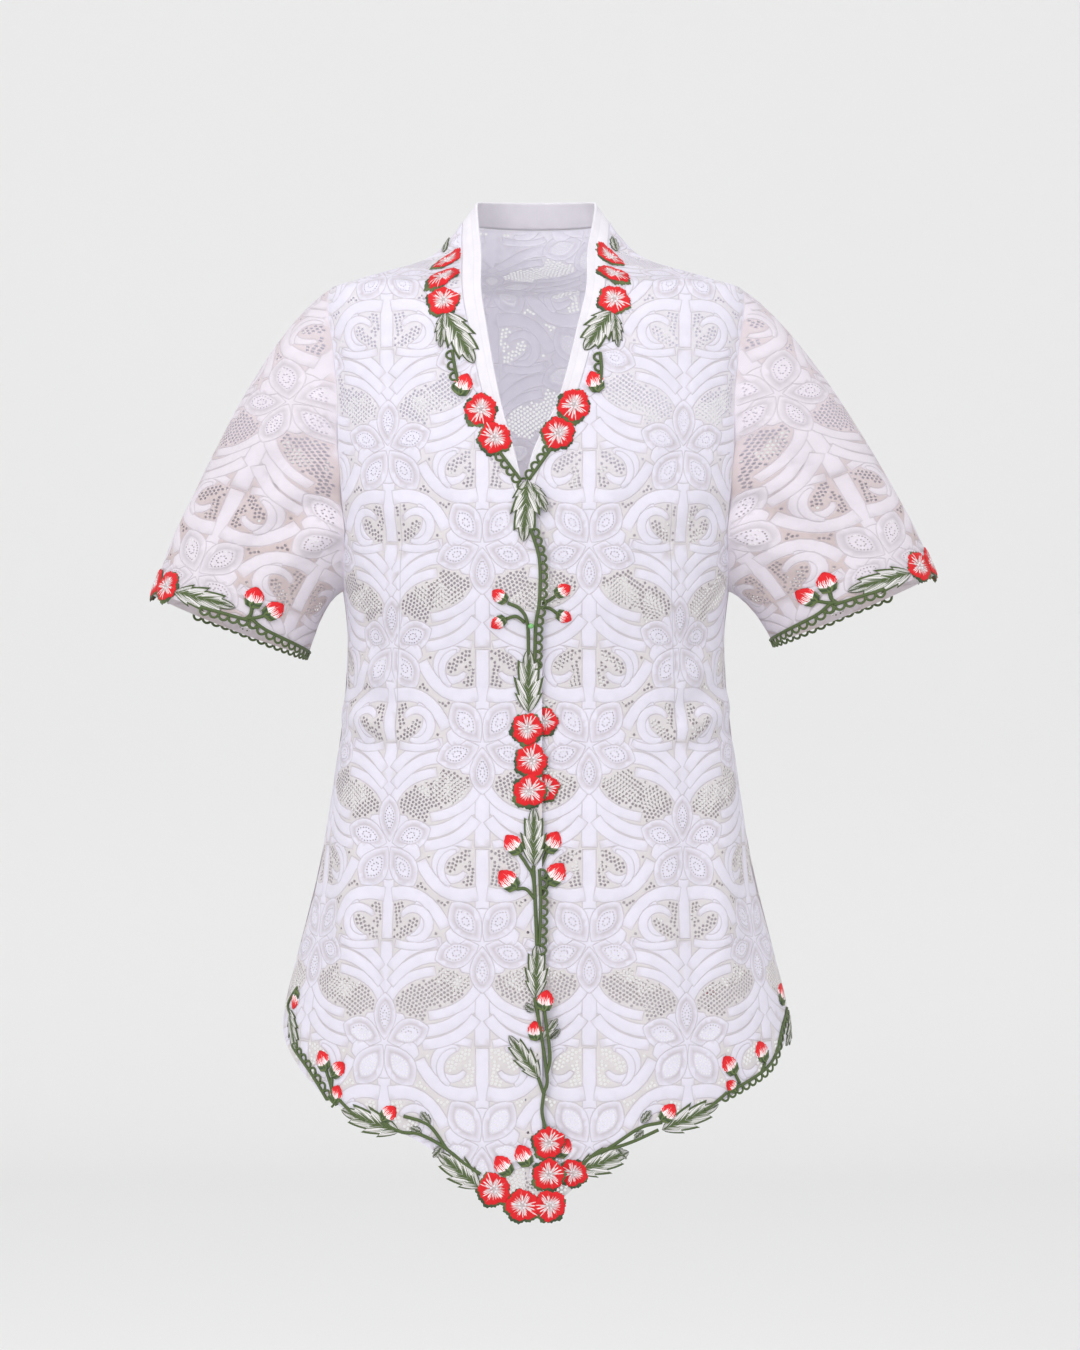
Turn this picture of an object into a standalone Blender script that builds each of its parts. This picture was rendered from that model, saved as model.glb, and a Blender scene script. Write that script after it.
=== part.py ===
# A short-sleeved lace kebaya blouse, built as thin cloth walls in its worn shape.
# Metres. +Z is up, the front faces -Y and +X is the wearer's left.
# The origin lies midway between the places where the shoulders carry the blouse.
import math
from collections import namedtuple

import bmesh
import bpy
from mathutils import Vector

CLOTH = 0.0014            # wall of a lace panel
EDGING = 0.0010           # wall of an embroidered edging
SEAM_GAP = 0.0004         # air between two pieces that are sewn together
ROUNDNESS = 2.2           # power of the oval body sections, 2 is an ellipse

SHOULDER_TIP = -0.036     # height of the armhole's top
UNDERARM = -0.292         # height of the armhole's lowest point
ARMHOLE_ANGLE = 27.0      # degrees from the side line to the armhole's edge
ARMHOLE_POWER = 2.3       # how full the armhole's oval is
ARMHOLE_STEPS = 10        # rows of cloth from the shoulder tip to the underarm

FRONT_COLUMNS = 12        # columns of cloth in each front
BACK_COLUMNS = 20         # columns of cloth across the back
SKIRT_ROWS = 7            # rows from the underarm to the hem edging
EDGING_WIDTH = 0.024      # an edging's reach over its panel
HEM_DROP = 0.008          # how far the hem edging hangs below the cloth
TUCK = 0.0036             # how deep the under front lies at the lap
TUCK_X = (0.058, 0.022)   # where the tuck starts and is full, across
TUCK_Z = (-0.110, -0.185)  # where the tuck starts and is full, downward
FRONT_TOP = 0.021         # top row of cloth of a front
BACK_TOP = 0.022          # top row of cloth of the back
SHOULDER_ROWS = (0.014, 0.007, -0.001, -0.010, -0.019, -0.027)

SLEEVE_ROWS = 7           # rows from the armhole to the sleeve edging
SLEEVE_DEPTH = 0.050      # half depth of the sleeve opening
SLEEVE_DROP = 0.005       # how much lower the back of the opening hangs
SLEEVE_GAP = 0.0006       # air between the armhole's edge and the sleeve's
SLEEVE_TAIL = 0.0048      # how far the sleeve edging hangs below the cloth
ARMHOLE_CENTRE = Vector((0.180, 0.0, -0.164))

# How a sleeve leaves the armhole: out, forward, down, and more down at the top.
LEAVE_OUT = 0.84
LEAVE_FORWARD = -0.30
LEAVE_DOWN = -0.30
LEAVE_DOWN_TOP = -0.24
PULL = 0.80               # strength of both ends of a sleeve's run, per its length
PULL_LESS_TOP = 0.10      # how much weaker it is at the shoulder
TAIL_BASE = 0.97          # share of a run from which the edging's tail takes its aim

BEAD_RADIUS = 0.0023
BEAD_X = -0.004
BEAD_Z = -0.323

WHITE = (0.84, 0.83, 0.87)
RED = (0.70, 0.05, 0.06)
GREEN = (0.16, 0.45, 0.10)
CLOTH_ROUGHNESS = 0.85
GLASS_ROUGHNESS = 0.15

NECK_CENTRE = Vector((0.0, -0.02, 0.08))

# Oval sections of the body, from the top of the neck band to below the hem.
Ring = namedtuple("Ring", "z half_width front back")
BODY = (
    Ring(0.046, 0.057, 0.018, 0.059),
    Ring(0.022, 0.063, 0.022, 0.064),
    Ring(0.007, 0.074, 0.030, 0.069),
    Ring(-0.008, 0.090, 0.040, 0.075),
    Ring(-0.027, 0.150, 0.056, 0.086),
    Ring(-0.036, 0.176, 0.062, 0.090),
    Ring(-0.070, 0.184, 0.084, 0.101),
    Ring(-0.160, 0.184, 0.113, 0.112),
    Ring(-0.250, 0.172, 0.125, 0.109),
    Ring(-0.292, 0.164, 0.125, 0.104),
    Ring(-0.335, 0.160, 0.117, 0.096),
    Ring(-0.390, 0.1635, 0.110, 0.093),
    Ring(-0.450, 0.171, 0.113, 0.100),
    Ring(-0.520, 0.183, 0.121, 0.111),
    Ring(-0.600, 0.2025, 0.127, 0.121),
    Ring(-0.640, 0.2125, 0.129, 0.125),
    Ring(-0.830, 0.238, 0.134, 0.132),
)

# Middle of each sleeve opening, half its width from the front, and degrees it leans.
Opening = namedtuple("Opening", "x z reach lean")
OPENINGS = {
    -1: Opening(0.260, -0.320, 0.071, 21.0),
    1: Opening(0.270, -0.306, 0.075, 22.5),
}

# Inner edge of each front and the width of neck band sewn to it, by height.
NeckRow = namedtuple("NeckRow", "z right_x right_band left_x left_band")
NECK = (
    NeckRow(0.021, -0.0626, 0.018, 0.0626, 0.018),
    NeckRow(0.007, -0.0630, 0.017, 0.0620, 0.017),
    NeckRow(-0.008, -0.0625, 0.017, 0.0600, 0.017),
    NeckRow(-0.036, -0.0620, 0.016, 0.0585, 0.016),
    NeckRow(-0.078, -0.0555, 0.015, 0.0490, 0.015),
    NeckRow(-0.140, -0.0420, 0.013, 0.0310, 0.013),
    NeckRow(-0.186, -0.0265, 0.010, 0.0060, 0.010),
    NeckRow(-0.228, -0.0120, 0.005, -0.0050, 0.005),
    NeckRow(-0.262, 0.0010, 0.0, -0.0090, 0.0),
    NeckRow(-0.300, 0.0050, 0.0, -0.0090, 0.0),
    NeckRow(-0.830, 0.0050, 0.0, -0.0090, 0.0),
)
BAND_END = -0.235         # the neck band stops at the last row above this height
BACK_BAND = 0.024         # height of the neck band at the centre back
SIDE_BAND = 0.020         # height of the neck band over the shoulders

# Height of the front hem by degrees round from the centre front.
HemRow = namedtuple("HemRow", "angle right_z left_z")
FRONT_HEM = (
    HemRow(-2.0, -0.808, -0.808),
    HemRow(5.0, -0.796, -0.787),
    HemRow(10.0, -0.783, -0.764),
    HemRow(20.0, -0.750, -0.734),
    HemRow(30.0, -0.733, -0.726),
    HemRow(45.0, -0.7175, -0.709),
    HemRow(65.0, -0.685, -0.682),
    HemRow(80.0, -0.661, -0.660),
    HemRow(90.0, -0.640, -0.640),
)
BACK_HEM_SIDE = -0.640
BACK_HEM_CENTRE = -0.680


def knots_of(table, key, column):
    rows = sorted(table, key=lambda row: getattr(row, key))
    places = [getattr(row, key) for row in rows]
    values = [getattr(row, column) for row in rows]
    return places, values


def slopes_of(places, values):
    # Slopes that never let the curve pass beyond its own knots.
    secants = []
    for i in range(len(places) - 1):
        secants.append((values[i + 1] - values[i]) / (places[i + 1] - places[i]))
    slopes = [secants[0]]
    for before, after in zip(secants, secants[1:]):
        if before * after <= 0.0:
            slopes.append(0.0)
        else:
            slopes.append(2.0 * before * after / (before + after))
    slopes.append(secants[-1])
    return slopes


class Curve:
    # One column of a table, read smoothly at any place along its key.
    def __init__(self, table, key, column):
        self.places, self.values = knots_of(table, key, column)
        self.slopes = slopes_of(self.places, self.values)

    def at(self, place):
        place = min(max(place, self.places[0]), self.places[-1])
        i = 0
        while i < len(self.places) - 2 and place > self.places[i + 1]:
            i += 1
        span = self.places[i + 1] - self.places[i]
        t = (place - self.places[i]) / span
        start = (1.0 + 2.0 * t) * (1.0 - t) ** 2 * self.values[i]
        start_slope = t * (1.0 - t) ** 2 * span * self.slopes[i]
        end = t * t * (3.0 - 2.0 * t) * self.values[i + 1]
        end_slope = t * t * (t - 1.0) * span * self.slopes[i + 1]
        return start + start_slope + end + end_slope


half_width = Curve(BODY, "z", "half_width")
front_depth = Curve(BODY, "z", "front")
back_depth = Curve(BODY, "z", "back")
inner_x = {-1: Curve(NECK, "z", "right_x"), 1: Curve(NECK, "z", "left_x")}
band_width = {-1: Curve(NECK, "z", "right_band"), 1: Curve(NECK, "z", "left_band")}
front_hem = {-1: Curve(FRONT_HEM, "angle", "right_z"), 1: Curve(FRONT_HEM, "angle", "left_z")}


def body_point(angle, z):
    # Angle is in degrees round the body, 0 at the centre front, 90 at +X.
    turn = math.radians(angle)
    across = math.sin(turn)
    ahead = math.cos(turn)
    power = 2.0 / ROUNDNESS
    x = half_width.at(z) * math.copysign(abs(across) ** power, across)
    depth = front_depth.at(z) if ahead > 0.0 else back_depth.at(z)
    y = -depth * math.copysign(abs(ahead) ** power, ahead)
    return Vector((x, y, z))


def body_normal(angle, z):
    round_body = body_point(angle + 0.5, z) - body_point(angle - 0.5, z)
    up_body = body_point(angle, z + 0.002) - body_point(angle, z - 0.002)
    return round_body.cross(up_body).normalized()


def angle_at(x, z):
    share = min(abs(x) / half_width.at(z), 1.0)
    return math.copysign(math.degrees(math.asin(share ** (ROUNDNESS / 2.0))), x)


def arc_length(first, last, z):
    steps = 24
    total = 0.0
    for i in range(steps):
        a = body_point(first + (last - first) * i / steps, z)
        b = body_point(first + (last - first) * (i + 1) / steps, z)
        total += (b - a).length
    return total


def angle_after(first, last, z, distance):
    # The angle reached after a distance along the section, from first toward last.
    low = 0.0
    high = 1.0
    for _ in range(18):
        middle = 0.5 * (low + high)
        if arc_length(first, first + (last - first) * middle, z) < distance:
            low = middle
        else:
            high = middle
    return first + (last - first) * 0.5 * (low + high)


def ease(value, start, end):
    share = min(max((value - start) / (end - start), 0.0), 1.0)
    return share * share * (3.0 - 2.0 * share)


def lap_depth(side, point):
    # The wearer's left front sinks where the right front laps over it.
    if side < 0:
        return 0.0
    return TUCK * ease(point.x, *TUCK_X) * ease(point.z, *TUCK_Z)


def armhole_heights():
    heights = []
    for i in range(ARMHOLE_STEPS + 1):
        drop = 0.5 - 0.5 * math.cos(math.pi * i / ARMHOLE_STEPS)
        heights.append(SHOULDER_TIP + (UNDERARM - SHOULDER_TIP) * drop)
    return heights


def armhole_angle(z):
    # How far the armhole's edge stands from the side line at this height.
    if z >= SHOULDER_TIP or z <= UNDERARM:
        return 0.0
    share = 2.0 * (z - UNDERARM) / (SHOULDER_TIP - UNDERARM) - 1.0
    return ARMHOLE_ANGLE * (1.0 - abs(share) ** ARMHOLE_POWER) ** (1.0 / ARMHOLE_POWER)


def front_angles(side, z):
    # Angles of one row of a front, from its inner edge to the armhole or side seam.
    first = angle_at(inner_x[side].at(z), z)
    last = side * (90.0 - armhole_angle(z))
    width = arc_length(first, last, z)
    near = angle_after(first, last, z, min(0.5 * EDGING_WIDTH, 0.25 * width))
    far = angle_after(first, last, z, min(EDGING_WIDTH, 0.5 * width))
    angles = [first, near]
    rest = FRONT_COLUMNS - 2
    for i in range(rest + 1):
        angles.append(far + (last - far) * i / rest)
    return angles


def back_angles(z):
    first = 90.0 + armhole_angle(z)
    last = 270.0 - armhole_angle(z)
    return [first + (last - first) * i / BACK_COLUMNS for i in range(BACK_COLUMNS + 1)]


def back_hem(angle):
    return BACK_HEM_SIDE + (BACK_HEM_CENTRE - BACK_HEM_SIDE) * ease(-math.cos(math.radians(angle)), 0, 1)


def skirt_rows(angles, hem):
    # Rows from below the underarm to the hem, which follow the hem's curve.
    rows = []
    for i in range(1, SKIRT_ROWS + 1):
        share = i / SKIRT_ROWS
        heights = [UNDERARM + (hem(a) + EDGING_WIDTH - UNDERARM) * share for a in angles]
        rows.append(list(zip(angles, heights)))
    rows.append([(a, hem(a) + 0.5 * EDGING_WIDTH) for a in angles])
    rows.append([(a, hem(a)) for a in angles])
    return rows


def settle_front_row(side, row):
    # Each place of a skirt row takes the angle that its own height asks for.
    settled = []
    for column, (_, z) in enumerate(row):
        settled.append((front_angles(side, z)[column], z))
    return settled


def sewn_point(angle, z, lean):
    # A place on the body, moved off the side or shoulder seam by half the gap.
    point = body_point(angle, z)
    if abs(abs(angle) - 90.0) < 0.001 or abs(abs(angle) - 270.0) < 0.001:
        point.y += lean * 0.5 * SEAM_GAP
    return point


def front_grid(side):
    def hem(angle):
        return front_hem[side].at(side * angle)

    rows = []
    for z in [FRONT_TOP, *SHOULDER_ROWS, *armhole_heights()]:
        rows.append([(a, z) for a in front_angles(side, z)])
    for row in skirt_rows(front_angles(side, UNDERARM), hem):
        rows.append(settle_front_row(side, row))
    grid = []
    for row in rows:
        line = []
        for angle, z in row:
            normal = body_normal(angle, z)
            point = sewn_point(angle, z, -1.0)
            line.append((point - normal * lap_depth(side, point), normal))
        grid.append(line)
    return grid, rows


def back_grid():
    rows = []
    for z in [BACK_TOP, *SHOULDER_ROWS, *armhole_heights()]:
        rows.append([(a, z) for a in back_angles(z)])
    rows += skirt_rows(back_angles(UNDERARM), back_hem)
    grid = []
    for row in rows:
        grid.append([(sewn_point(a, z, 1.0), body_normal(a, z)) for a, z in row])
    return grid, rows


def hem_tail(row, drop, side):
    # One more row below a hem, for the part of an edging that hangs free.
    line = []
    for angle, z in row:
        normal = body_normal(angle, z - drop)
        point = body_point(angle, z - drop)
        line.append((point - normal * lap_depth(side, point), normal))
    return line


def set_back(line):
    # The line with its first place moved along by the gap between two edgings.
    point, normal = line[0]
    toward = (line[1][0] - point).normalized()
    return [(point + toward * SEAM_GAP, normal)] + line[1:]


def make_object(name, mesh_builder, colour, roughness):
    mesh = bpy.data.meshes.new(name)
    built = bmesh.new()
    mesh_builder(built)
    bmesh.ops.recalc_face_normals(built, faces=built.faces[:])
    bmesh.ops.triangulate(built, faces=built.faces[:])
    built.to_mesh(mesh)
    built.free()
    for face in mesh.polygons:
        face.use_smooth = True
    thing = bpy.data.objects.new(name, mesh)
    bpy.context.scene.collection.objects.link(thing)
    material = bpy.data.materials.new(name)
    material.use_nodes = True
    shader = material.node_tree.nodes["Principled BSDF"]
    shader.inputs["Base Color"].default_value = (*colour, 1.0)
    shader.inputs["Roughness"].default_value = roughness
    mesh.materials.append(material)
    return thing


def make_wall(name, grid, lift, thickness, colour, tube=False):
    # A closed wall over a grid of (point, normal): its underside stands lift off the grid.
    def build(built):
        sheets = []
        for height in (lift + thickness, lift):
            sheet = []
            for line in grid:
                sheet.append([built.verts.new(p + n * height) for p, n in line])
            sheets.append(sheet)
        outer, inner = sheets
        rows = len(grid)
        columns = len(grid[0])
        last = columns if tube else columns - 1
        for i in range(rows - 1):
            for j in range(last):
                k = (j + 1) % columns
                built.faces.new((outer[i][j], outer[i][k], outer[i + 1][k], outer[i + 1][j]))
                built.faces.new((inner[i][j], inner[i + 1][j], inner[i + 1][k], inner[i][k]))
        for j in range(last):
            k = (j + 1) % columns
            built.faces.new((outer[0][j], inner[0][j], inner[0][k], outer[0][k]))
            built.faces.new((outer[-1][j], outer[-1][k], inner[-1][k], inner[-1][j]))
        if not tube:
            for i in range(rows - 1):
                built.faces.new((outer[i][0], outer[i + 1][0], inner[i + 1][0], inner[i][0]))
                built.faces.new((outer[i][-1], inner[i][-1], inner[i + 1][-1], outer[i + 1][-1]))

    return make_object(name, build, colour, CLOTH_ROUGHNESS)


def sleeve_starts():
    # Places round the armhole: down the front from the shoulder tip, up the back.
    heights = armhole_heights()
    places = []
    for z in heights[:-1]:
        places.append((90.0 - armhole_angle(z), z))
    for z in reversed(heights[1:]):
        places.append((90.0 + armhole_angle(z), z))
    starts = []
    for i, (angle, z) in enumerate(places):
        turn = 2.0 * math.pi * i / len(places)
        edge = body_point(angle, z)
        normal = body_normal(angle, z)
        before = body_point(*places[i - 1])
        after = body_point(*places[(i + 1) % len(places)])
        inward = normal.cross(after - before).normalized()
        if inward.dot(ARMHOLE_CENTRE - edge) < 0.0:
            inward = -inward
        start = edge + normal * SEAM_GAP + inward * SLEEVE_GAP
        starts.append((turn, start))
    return starts


def sleeve_end(opening, turn):
    lean = math.radians(opening.lean)
    centre = Vector((opening.x, 0.0, opening.z))
    outward = Vector((math.cos(lean), 0.0, math.sin(lean)))
    forward = Vector((0.0, -SLEEVE_DEPTH, SLEEVE_DROP))
    return centre + outward * opening.reach * math.cos(turn) + forward * math.sin(turn)


def sleeve_path(opening, turn, start, t):
    # A run of cloth from the armhole to the opening: flat at the shoulder, then along the arm.
    end = sleeve_end(opening, turn)
    lean = math.radians(opening.lean)
    along_arm = Vector((math.sin(lean), 0.0, -math.cos(lean)))
    top = 0.5 + 0.5 * math.cos(turn)
    front = math.sin(turn)
    leave = Vector((LEAVE_OUT, LEAVE_FORWARD * front, LEAVE_DOWN + LEAVE_DOWN_TOP * top)).normalized()
    pull = (end - start).length * (PULL - PULL_LESS_TOP * top)
    return (
        start * ((1.0 + 2.0 * t) * (1.0 - t) ** 2)
        + leave * pull * (t * (1.0 - t) ** 2)
        + end * (t * t * (3.0 - 2.0 * t))
        + along_arm * pull * (t * t * (t - 1.0))
    )


def sleeve_grid(side):
    opening = OPENINGS[side]
    starts = sleeve_starts()
    runs = [(sleeve_end(opening, turn) - start).length for turn, start in starts]
    lines = []
    for i in range(SLEEVE_ROWS + 4):
        line = []
        for (turn, start), run in zip(starts, runs):
            shares = (1.0 - EDGING_WIDTH / run, 1.0 - 0.5 * EDGING_WIDTH / run, 1.0)
            if i <= SLEEVE_ROWS:
                share = shares[0] * i / SLEEVE_ROWS
                line.append(sleeve_path(opening, turn, start, share))
            elif i <= SLEEVE_ROWS + 2:
                line.append(sleeve_path(opening, turn, start, shares[i - SLEEVE_ROWS]))
            else:
                step = sleeve_path(opening, turn, start, 1.0) - sleeve_path(opening, turn, start, TAIL_BASE)
                tail = step.normalized() * SLEEVE_TAIL
                line.append(sleeve_path(opening, turn, start, 1.0) + tail)
        lines.append(line)
    grid = []
    count = len(starts)
    for i, line in enumerate(lines):
        row = []
        for j, point in enumerate(line):
            below = lines[min(i + 1, len(lines) - 1)][j]
            above = lines[max(i - 1, 0)][j]
            around = line[(j + 1) % count] - line[j - 1]
            normal = around.cross(below - above).normalized()
            middle = sum(line, Vector()) / count
            if normal.dot(point - middle) < 0.0:
                normal = -normal
            mirror = Vector((side, 1.0, 1.0))
            row.append((point * mirror, normal * mirror))
        grid.append(row)
    return grid


def front_band_stations(side, grid, rows):
    # Inner-edge places of one front, from the end of the band up to the shoulder.
    stations = []
    for line, row in zip(grid, rows):
        z = row[0][1]
        if z > BAND_END:
            point, normal = line[0]
            stations.append((point, normal, band_width[side].at(z)))
    stations.reverse()
    return stations


def back_band_stations(grid):
    stations = []
    for j, (point, normal) in enumerate(grid[0]):
        share = math.sin(math.pi * j / BACK_COLUMNS)
        width = SIDE_BAND + (BACK_BAND - SIDE_BAND) * share
        stations.append((point, normal, width))
    stations.reverse()
    return stations


def smoothed(directions, passes):
    for _ in range(passes):
        softer = [directions[0]]
        for a, b, c in zip(directions, directions[1:], directions[2:]):
            softer.append((a + 2.0 * b + c).normalized())
        softer.append(directions[-1])
        directions = softer
    return directions


def band_grid(right, left, back):
    right_part = front_band_stations(-1, *right)
    left_part = front_band_stations(1, *left)
    stations = right_part + back_band_stations(back[0]) + list(reversed(left_part))
    rises = []
    for i, (point, normal, width) in enumerate(stations):
        before = stations[max(i - 1, 0)][0]
        after = stations[min(i + 1, len(stations) - 1)][0]
        rise = normal.cross(after - before).normalized()
        if rise.dot(NECK_CENTRE - point) < 0.0:
            rise = -rise
        rises.append(rise)
    rises = smoothed(rises, 3)
    grid = [[], [], []]
    for (point, normal, width), rise in zip(stations, rises):
        for line, reach in zip(grid, (SEAM_GAP, 0.5 * width, width)):
            line.append((point + rise * reach, normal))
    return grid


def make_bead(surface_y):
    def build(built):
        bmesh.ops.create_uvsphere(built, u_segments=12, v_segments=8, radius=BEAD_RADIUS)
        bmesh.ops.translate(built, verts=built.verts[:], vec=(BEAD_X, surface_y, BEAD_Z))

    return make_object("front_bead", build, GREEN, GLASS_ROUGHNESS)


for leftover in list(bpy.data.objects):
    bpy.data.objects.remove(leftover, do_unlink=True)

right = front_grid(-1)
left = front_grid(1)
back = back_grid()

make_wall("front_right", right[0], -CLOTH, CLOTH, WHITE)
make_wall("front_left", left[0], -CLOTH, CLOTH, WHITE)
make_wall("back", back[0], -CLOTH, CLOTH, WHITE)
make_wall("neck_band", band_grid(right, left, back), -CLOTH, CLOTH, WHITE)

# The front edgings start a little way down from the shoulder seam.
for side, name, (grid, rows) in ((-1, "right", right), (1, "left", left)):
    strip = [line[:3] for line in grid[2:]]
    strip.append(hem_tail(rows[-1][:3], HEM_DROP, side))
    make_wall("edging_front_" + name, strip, SEAM_GAP, EDGING, RED)
    hem = [line[2:] for line in grid[-3:]]
    hem.append(hem_tail(rows[-1][2:], HEM_DROP, side))
    make_wall("edging_hem_" + name, [set_back(line) for line in hem], SEAM_GAP, EDGING, RED)

back_strip = list(back[0][-3:])
back_strip.append(hem_tail(back[1][-1], HEM_DROP, -1))
back_strip = [set_back(set_back(line)[::-1])[::-1] for line in back_strip]
make_wall("edging_hem_back", back_strip, SEAM_GAP, EDGING, RED)

for side, name in ((-1, "right"), (1, "left")):
    sleeve = sleeve_grid(side)
    make_wall("sleeve_" + name, sleeve[:-1], -CLOTH, CLOTH, WHITE, tube=True)
    make_wall("edging_sleeve_" + name, sleeve[-4:], SEAM_GAP, EDGING, RED, tube=True)

bead_ground = body_point(angle_at(BEAD_X, BEAD_Z), BEAD_Z).y
make_bead(bead_ground - SEAM_GAP - EDGING - SEAM_GAP - BEAD_RADIUS)
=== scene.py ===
import math
import bpy
import numpy as np
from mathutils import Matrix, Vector
from mathutils.geometry import delaunay_2d_cdt
from mathutils.kdtree import KDTree


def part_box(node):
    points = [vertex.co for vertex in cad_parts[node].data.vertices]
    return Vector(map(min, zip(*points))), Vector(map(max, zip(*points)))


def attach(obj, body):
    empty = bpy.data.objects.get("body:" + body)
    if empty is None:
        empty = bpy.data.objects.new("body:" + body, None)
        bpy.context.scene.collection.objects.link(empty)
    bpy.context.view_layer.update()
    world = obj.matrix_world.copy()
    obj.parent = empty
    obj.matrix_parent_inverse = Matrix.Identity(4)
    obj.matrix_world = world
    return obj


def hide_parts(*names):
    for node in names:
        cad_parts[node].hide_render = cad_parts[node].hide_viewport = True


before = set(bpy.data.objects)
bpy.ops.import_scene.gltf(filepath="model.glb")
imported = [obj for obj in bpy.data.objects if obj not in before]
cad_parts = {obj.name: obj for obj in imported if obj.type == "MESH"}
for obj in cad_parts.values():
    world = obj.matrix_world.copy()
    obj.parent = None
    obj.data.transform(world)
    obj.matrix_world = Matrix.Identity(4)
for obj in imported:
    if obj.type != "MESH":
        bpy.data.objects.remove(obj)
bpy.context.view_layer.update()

# The cloth follows the same oval sections and edges as the CAD panels, in metres.
bodyForm = {
    "roundness": 2.2,
    "shoulderTip": -0.036,
    "underarm": -0.292,
    "armholeAngle": 27.0,
    "armholePower": 2.3,
    "frontTop": 0.0215,
    "backTop": 0.0220,
    "straightFrom": -0.300,        # the front edges hang straight below this
    "lapDepth": 0.0036,
    "lapAcross": (0.058, 0.022),   # the under front sinks behind the lap, inward
    "lapDown": (-0.110, -0.185),   # and downward
    "clothStep": 0.0025,
    "clothHeights": (0.045, -0.850),
    "clothReach": 0.340,
    "clothPastCentre": 0.045,
    "clothSpread": 130.0,
    "plumbAngle": 55.0,            # heights on the flat cloth are measured down this line
    "dentStrength": 2.0,
    "dentFade": 0.12,
    "sections": [  # z, half width, front depth, back depth
        (0.046, 0.057, 0.018, 0.059),
        (0.022, 0.063, 0.022, 0.064),
        (0.007, 0.074, 0.030, 0.069),
        (-0.008, 0.090, 0.040, 0.075),
        (-0.027, 0.150, 0.056, 0.086),
        (-0.036, 0.176, 0.062, 0.090),
        (-0.070, 0.184, 0.084, 0.101),
        (-0.160, 0.184, 0.113, 0.112),
        (-0.250, 0.172, 0.125, 0.109),
        (-0.292, 0.164, 0.125, 0.104),
        (-0.335, 0.160, 0.117, 0.096),
        (-0.390, 0.1635, 0.110, 0.093),
        (-0.450, 0.171, 0.113, 0.100),
        (-0.520, 0.183, 0.121, 0.111),
        (-0.600, 0.2025, 0.127, 0.121),
        (-0.640, 0.2125, 0.129, 0.125),
        (-0.830, 0.238, 0.134, 0.132),
    ],
    "neck": [  # z, right seam x, right band, left seam x, left band
        (0.021, -0.0626, 0.018, 0.0626, 0.018),
        (0.007, -0.0630, 0.017, 0.0620, 0.017),
        (-0.008, -0.0625, 0.017, 0.0600, 0.017),
        (-0.036, -0.0620, 0.016, 0.0585, 0.016),
        (-0.078, -0.0555, 0.015, 0.0490, 0.015),
        (-0.140, -0.0420, 0.013, 0.0310, 0.013),
        (-0.186, -0.0265, 0.010, 0.0060, 0.010),
        (-0.228, -0.0120, 0.005, -0.0050, 0.005),
        (-0.262, 0.0010, 0.0, -0.0090, 0.0),
        (-0.300, 0.0050, 0.0, -0.0090, 0.0),
        (-0.830, 0.0050, 0.0, -0.0090, 0.0),
    ],
    "frontHem": [  # degrees from the centre front, right z, left z
        (-2.0, -0.808, -0.808),
        (5.0, -0.796, -0.787),
        (10.0, -0.783, -0.764),
        (20.0, -0.750, -0.734),
        (30.0, -0.733, -0.726),
        (45.0, -0.7175, -0.709),
        (65.0, -0.685, -0.682),
        (80.0, -0.661, -0.660),
        (90.0, -0.640, -0.640),
    ],
    "backHem": (-0.640, -0.680),  # at the sides, at the centre
    "backBand": (0.020, 0.024),   # over the shoulders, at the centre back
    "bandEnd": -0.228,
}
sleeveForm = {
    "girth": 0.061,   # metres of cloth for each radian round the sleeve
    "depth": 0.050,
    "drop": 0.005,
    "leave": (0.84, 0.30, 0.30, 0.24),   # out, forward, down, and more down along the top
    "pull": (0.80, 0.10),                # of the sleeve's length, and less along the top
    "clothHeights": (-0.016, 0.420),
    "laceShift": (-146.5, 155.0),
    "dentStrength": 2.6,
    "dentFade": 0.1,
    -1: {"x": 0.260, "z": -0.320, "reach": 0.071, "lean": 21.0},
    1: {"x": 0.270, "z": -0.306, "reach": 0.075, "lean": 22.5},
}


def smoothCurve(rows, column):
    # a curve through one column of a table, read by its first column
    rows = sorted(rows)
    place = np.array([row[0] for row in rows])
    value = np.array([row[column] for row in rows])
    secant = np.diff(value) / np.diff(place)
    slope = np.concatenate([secant[:1], np.zeros(len(rows) - 2), secant[-1:]])
    same = secant[:-1] * secant[1:] > 0.0
    both = np.where(same, secant[:-1] + secant[1:], 1.0)
    slope[1:-1] = np.where(same, 2.0 * secant[:-1] * secant[1:] / both, 0.0)

    def at(where):
        where = np.clip(where, place[0], place[-1])
        i = np.clip(np.searchsorted(place, where) - 1, 0, len(place) - 2)
        span = place[i + 1] - place[i]
        t = (where - place[i]) / span
        near = (1 + 2 * t) * (1 - t) ** 2 * value[i] + t * (1 - t) ** 2 * span * slope[i]
        return near + t * t * (3 - 2 * t) * value[i + 1] + t * t * (t - 1) * span * slope[i + 1]

    return at


def ease(value, start, end):
    share = np.clip((value - start) / (end - start), 0.0, 1.0)
    return share * share * (3.0 - 2.0 * share)


def lengthAlong(points):
    # distance from the first of a row of points to each of them
    return np.concatenate([[0.0], np.cumsum(np.linalg.norm(np.diff(points, axis=0), axis=1))])


halfWidth = smoothCurve(bodyForm["sections"], 1)
frontDepth = smoothCurve(bodyForm["sections"], 2)
backDepth = smoothCurve(bodyForm["sections"], 3)
seamX = {-1: smoothCurve(bodyForm["neck"], 1), 1: smoothCurve(bodyForm["neck"], 3)}
bandWidth = {-1: smoothCurve(bodyForm["neck"], 2), 1: smoothCurve(bodyForm["neck"], 4)}
hemZ = {-1: smoothCurve(bodyForm["frontHem"], 1), 1: smoothCurve(bodyForm["frontHem"], 2)}


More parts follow.
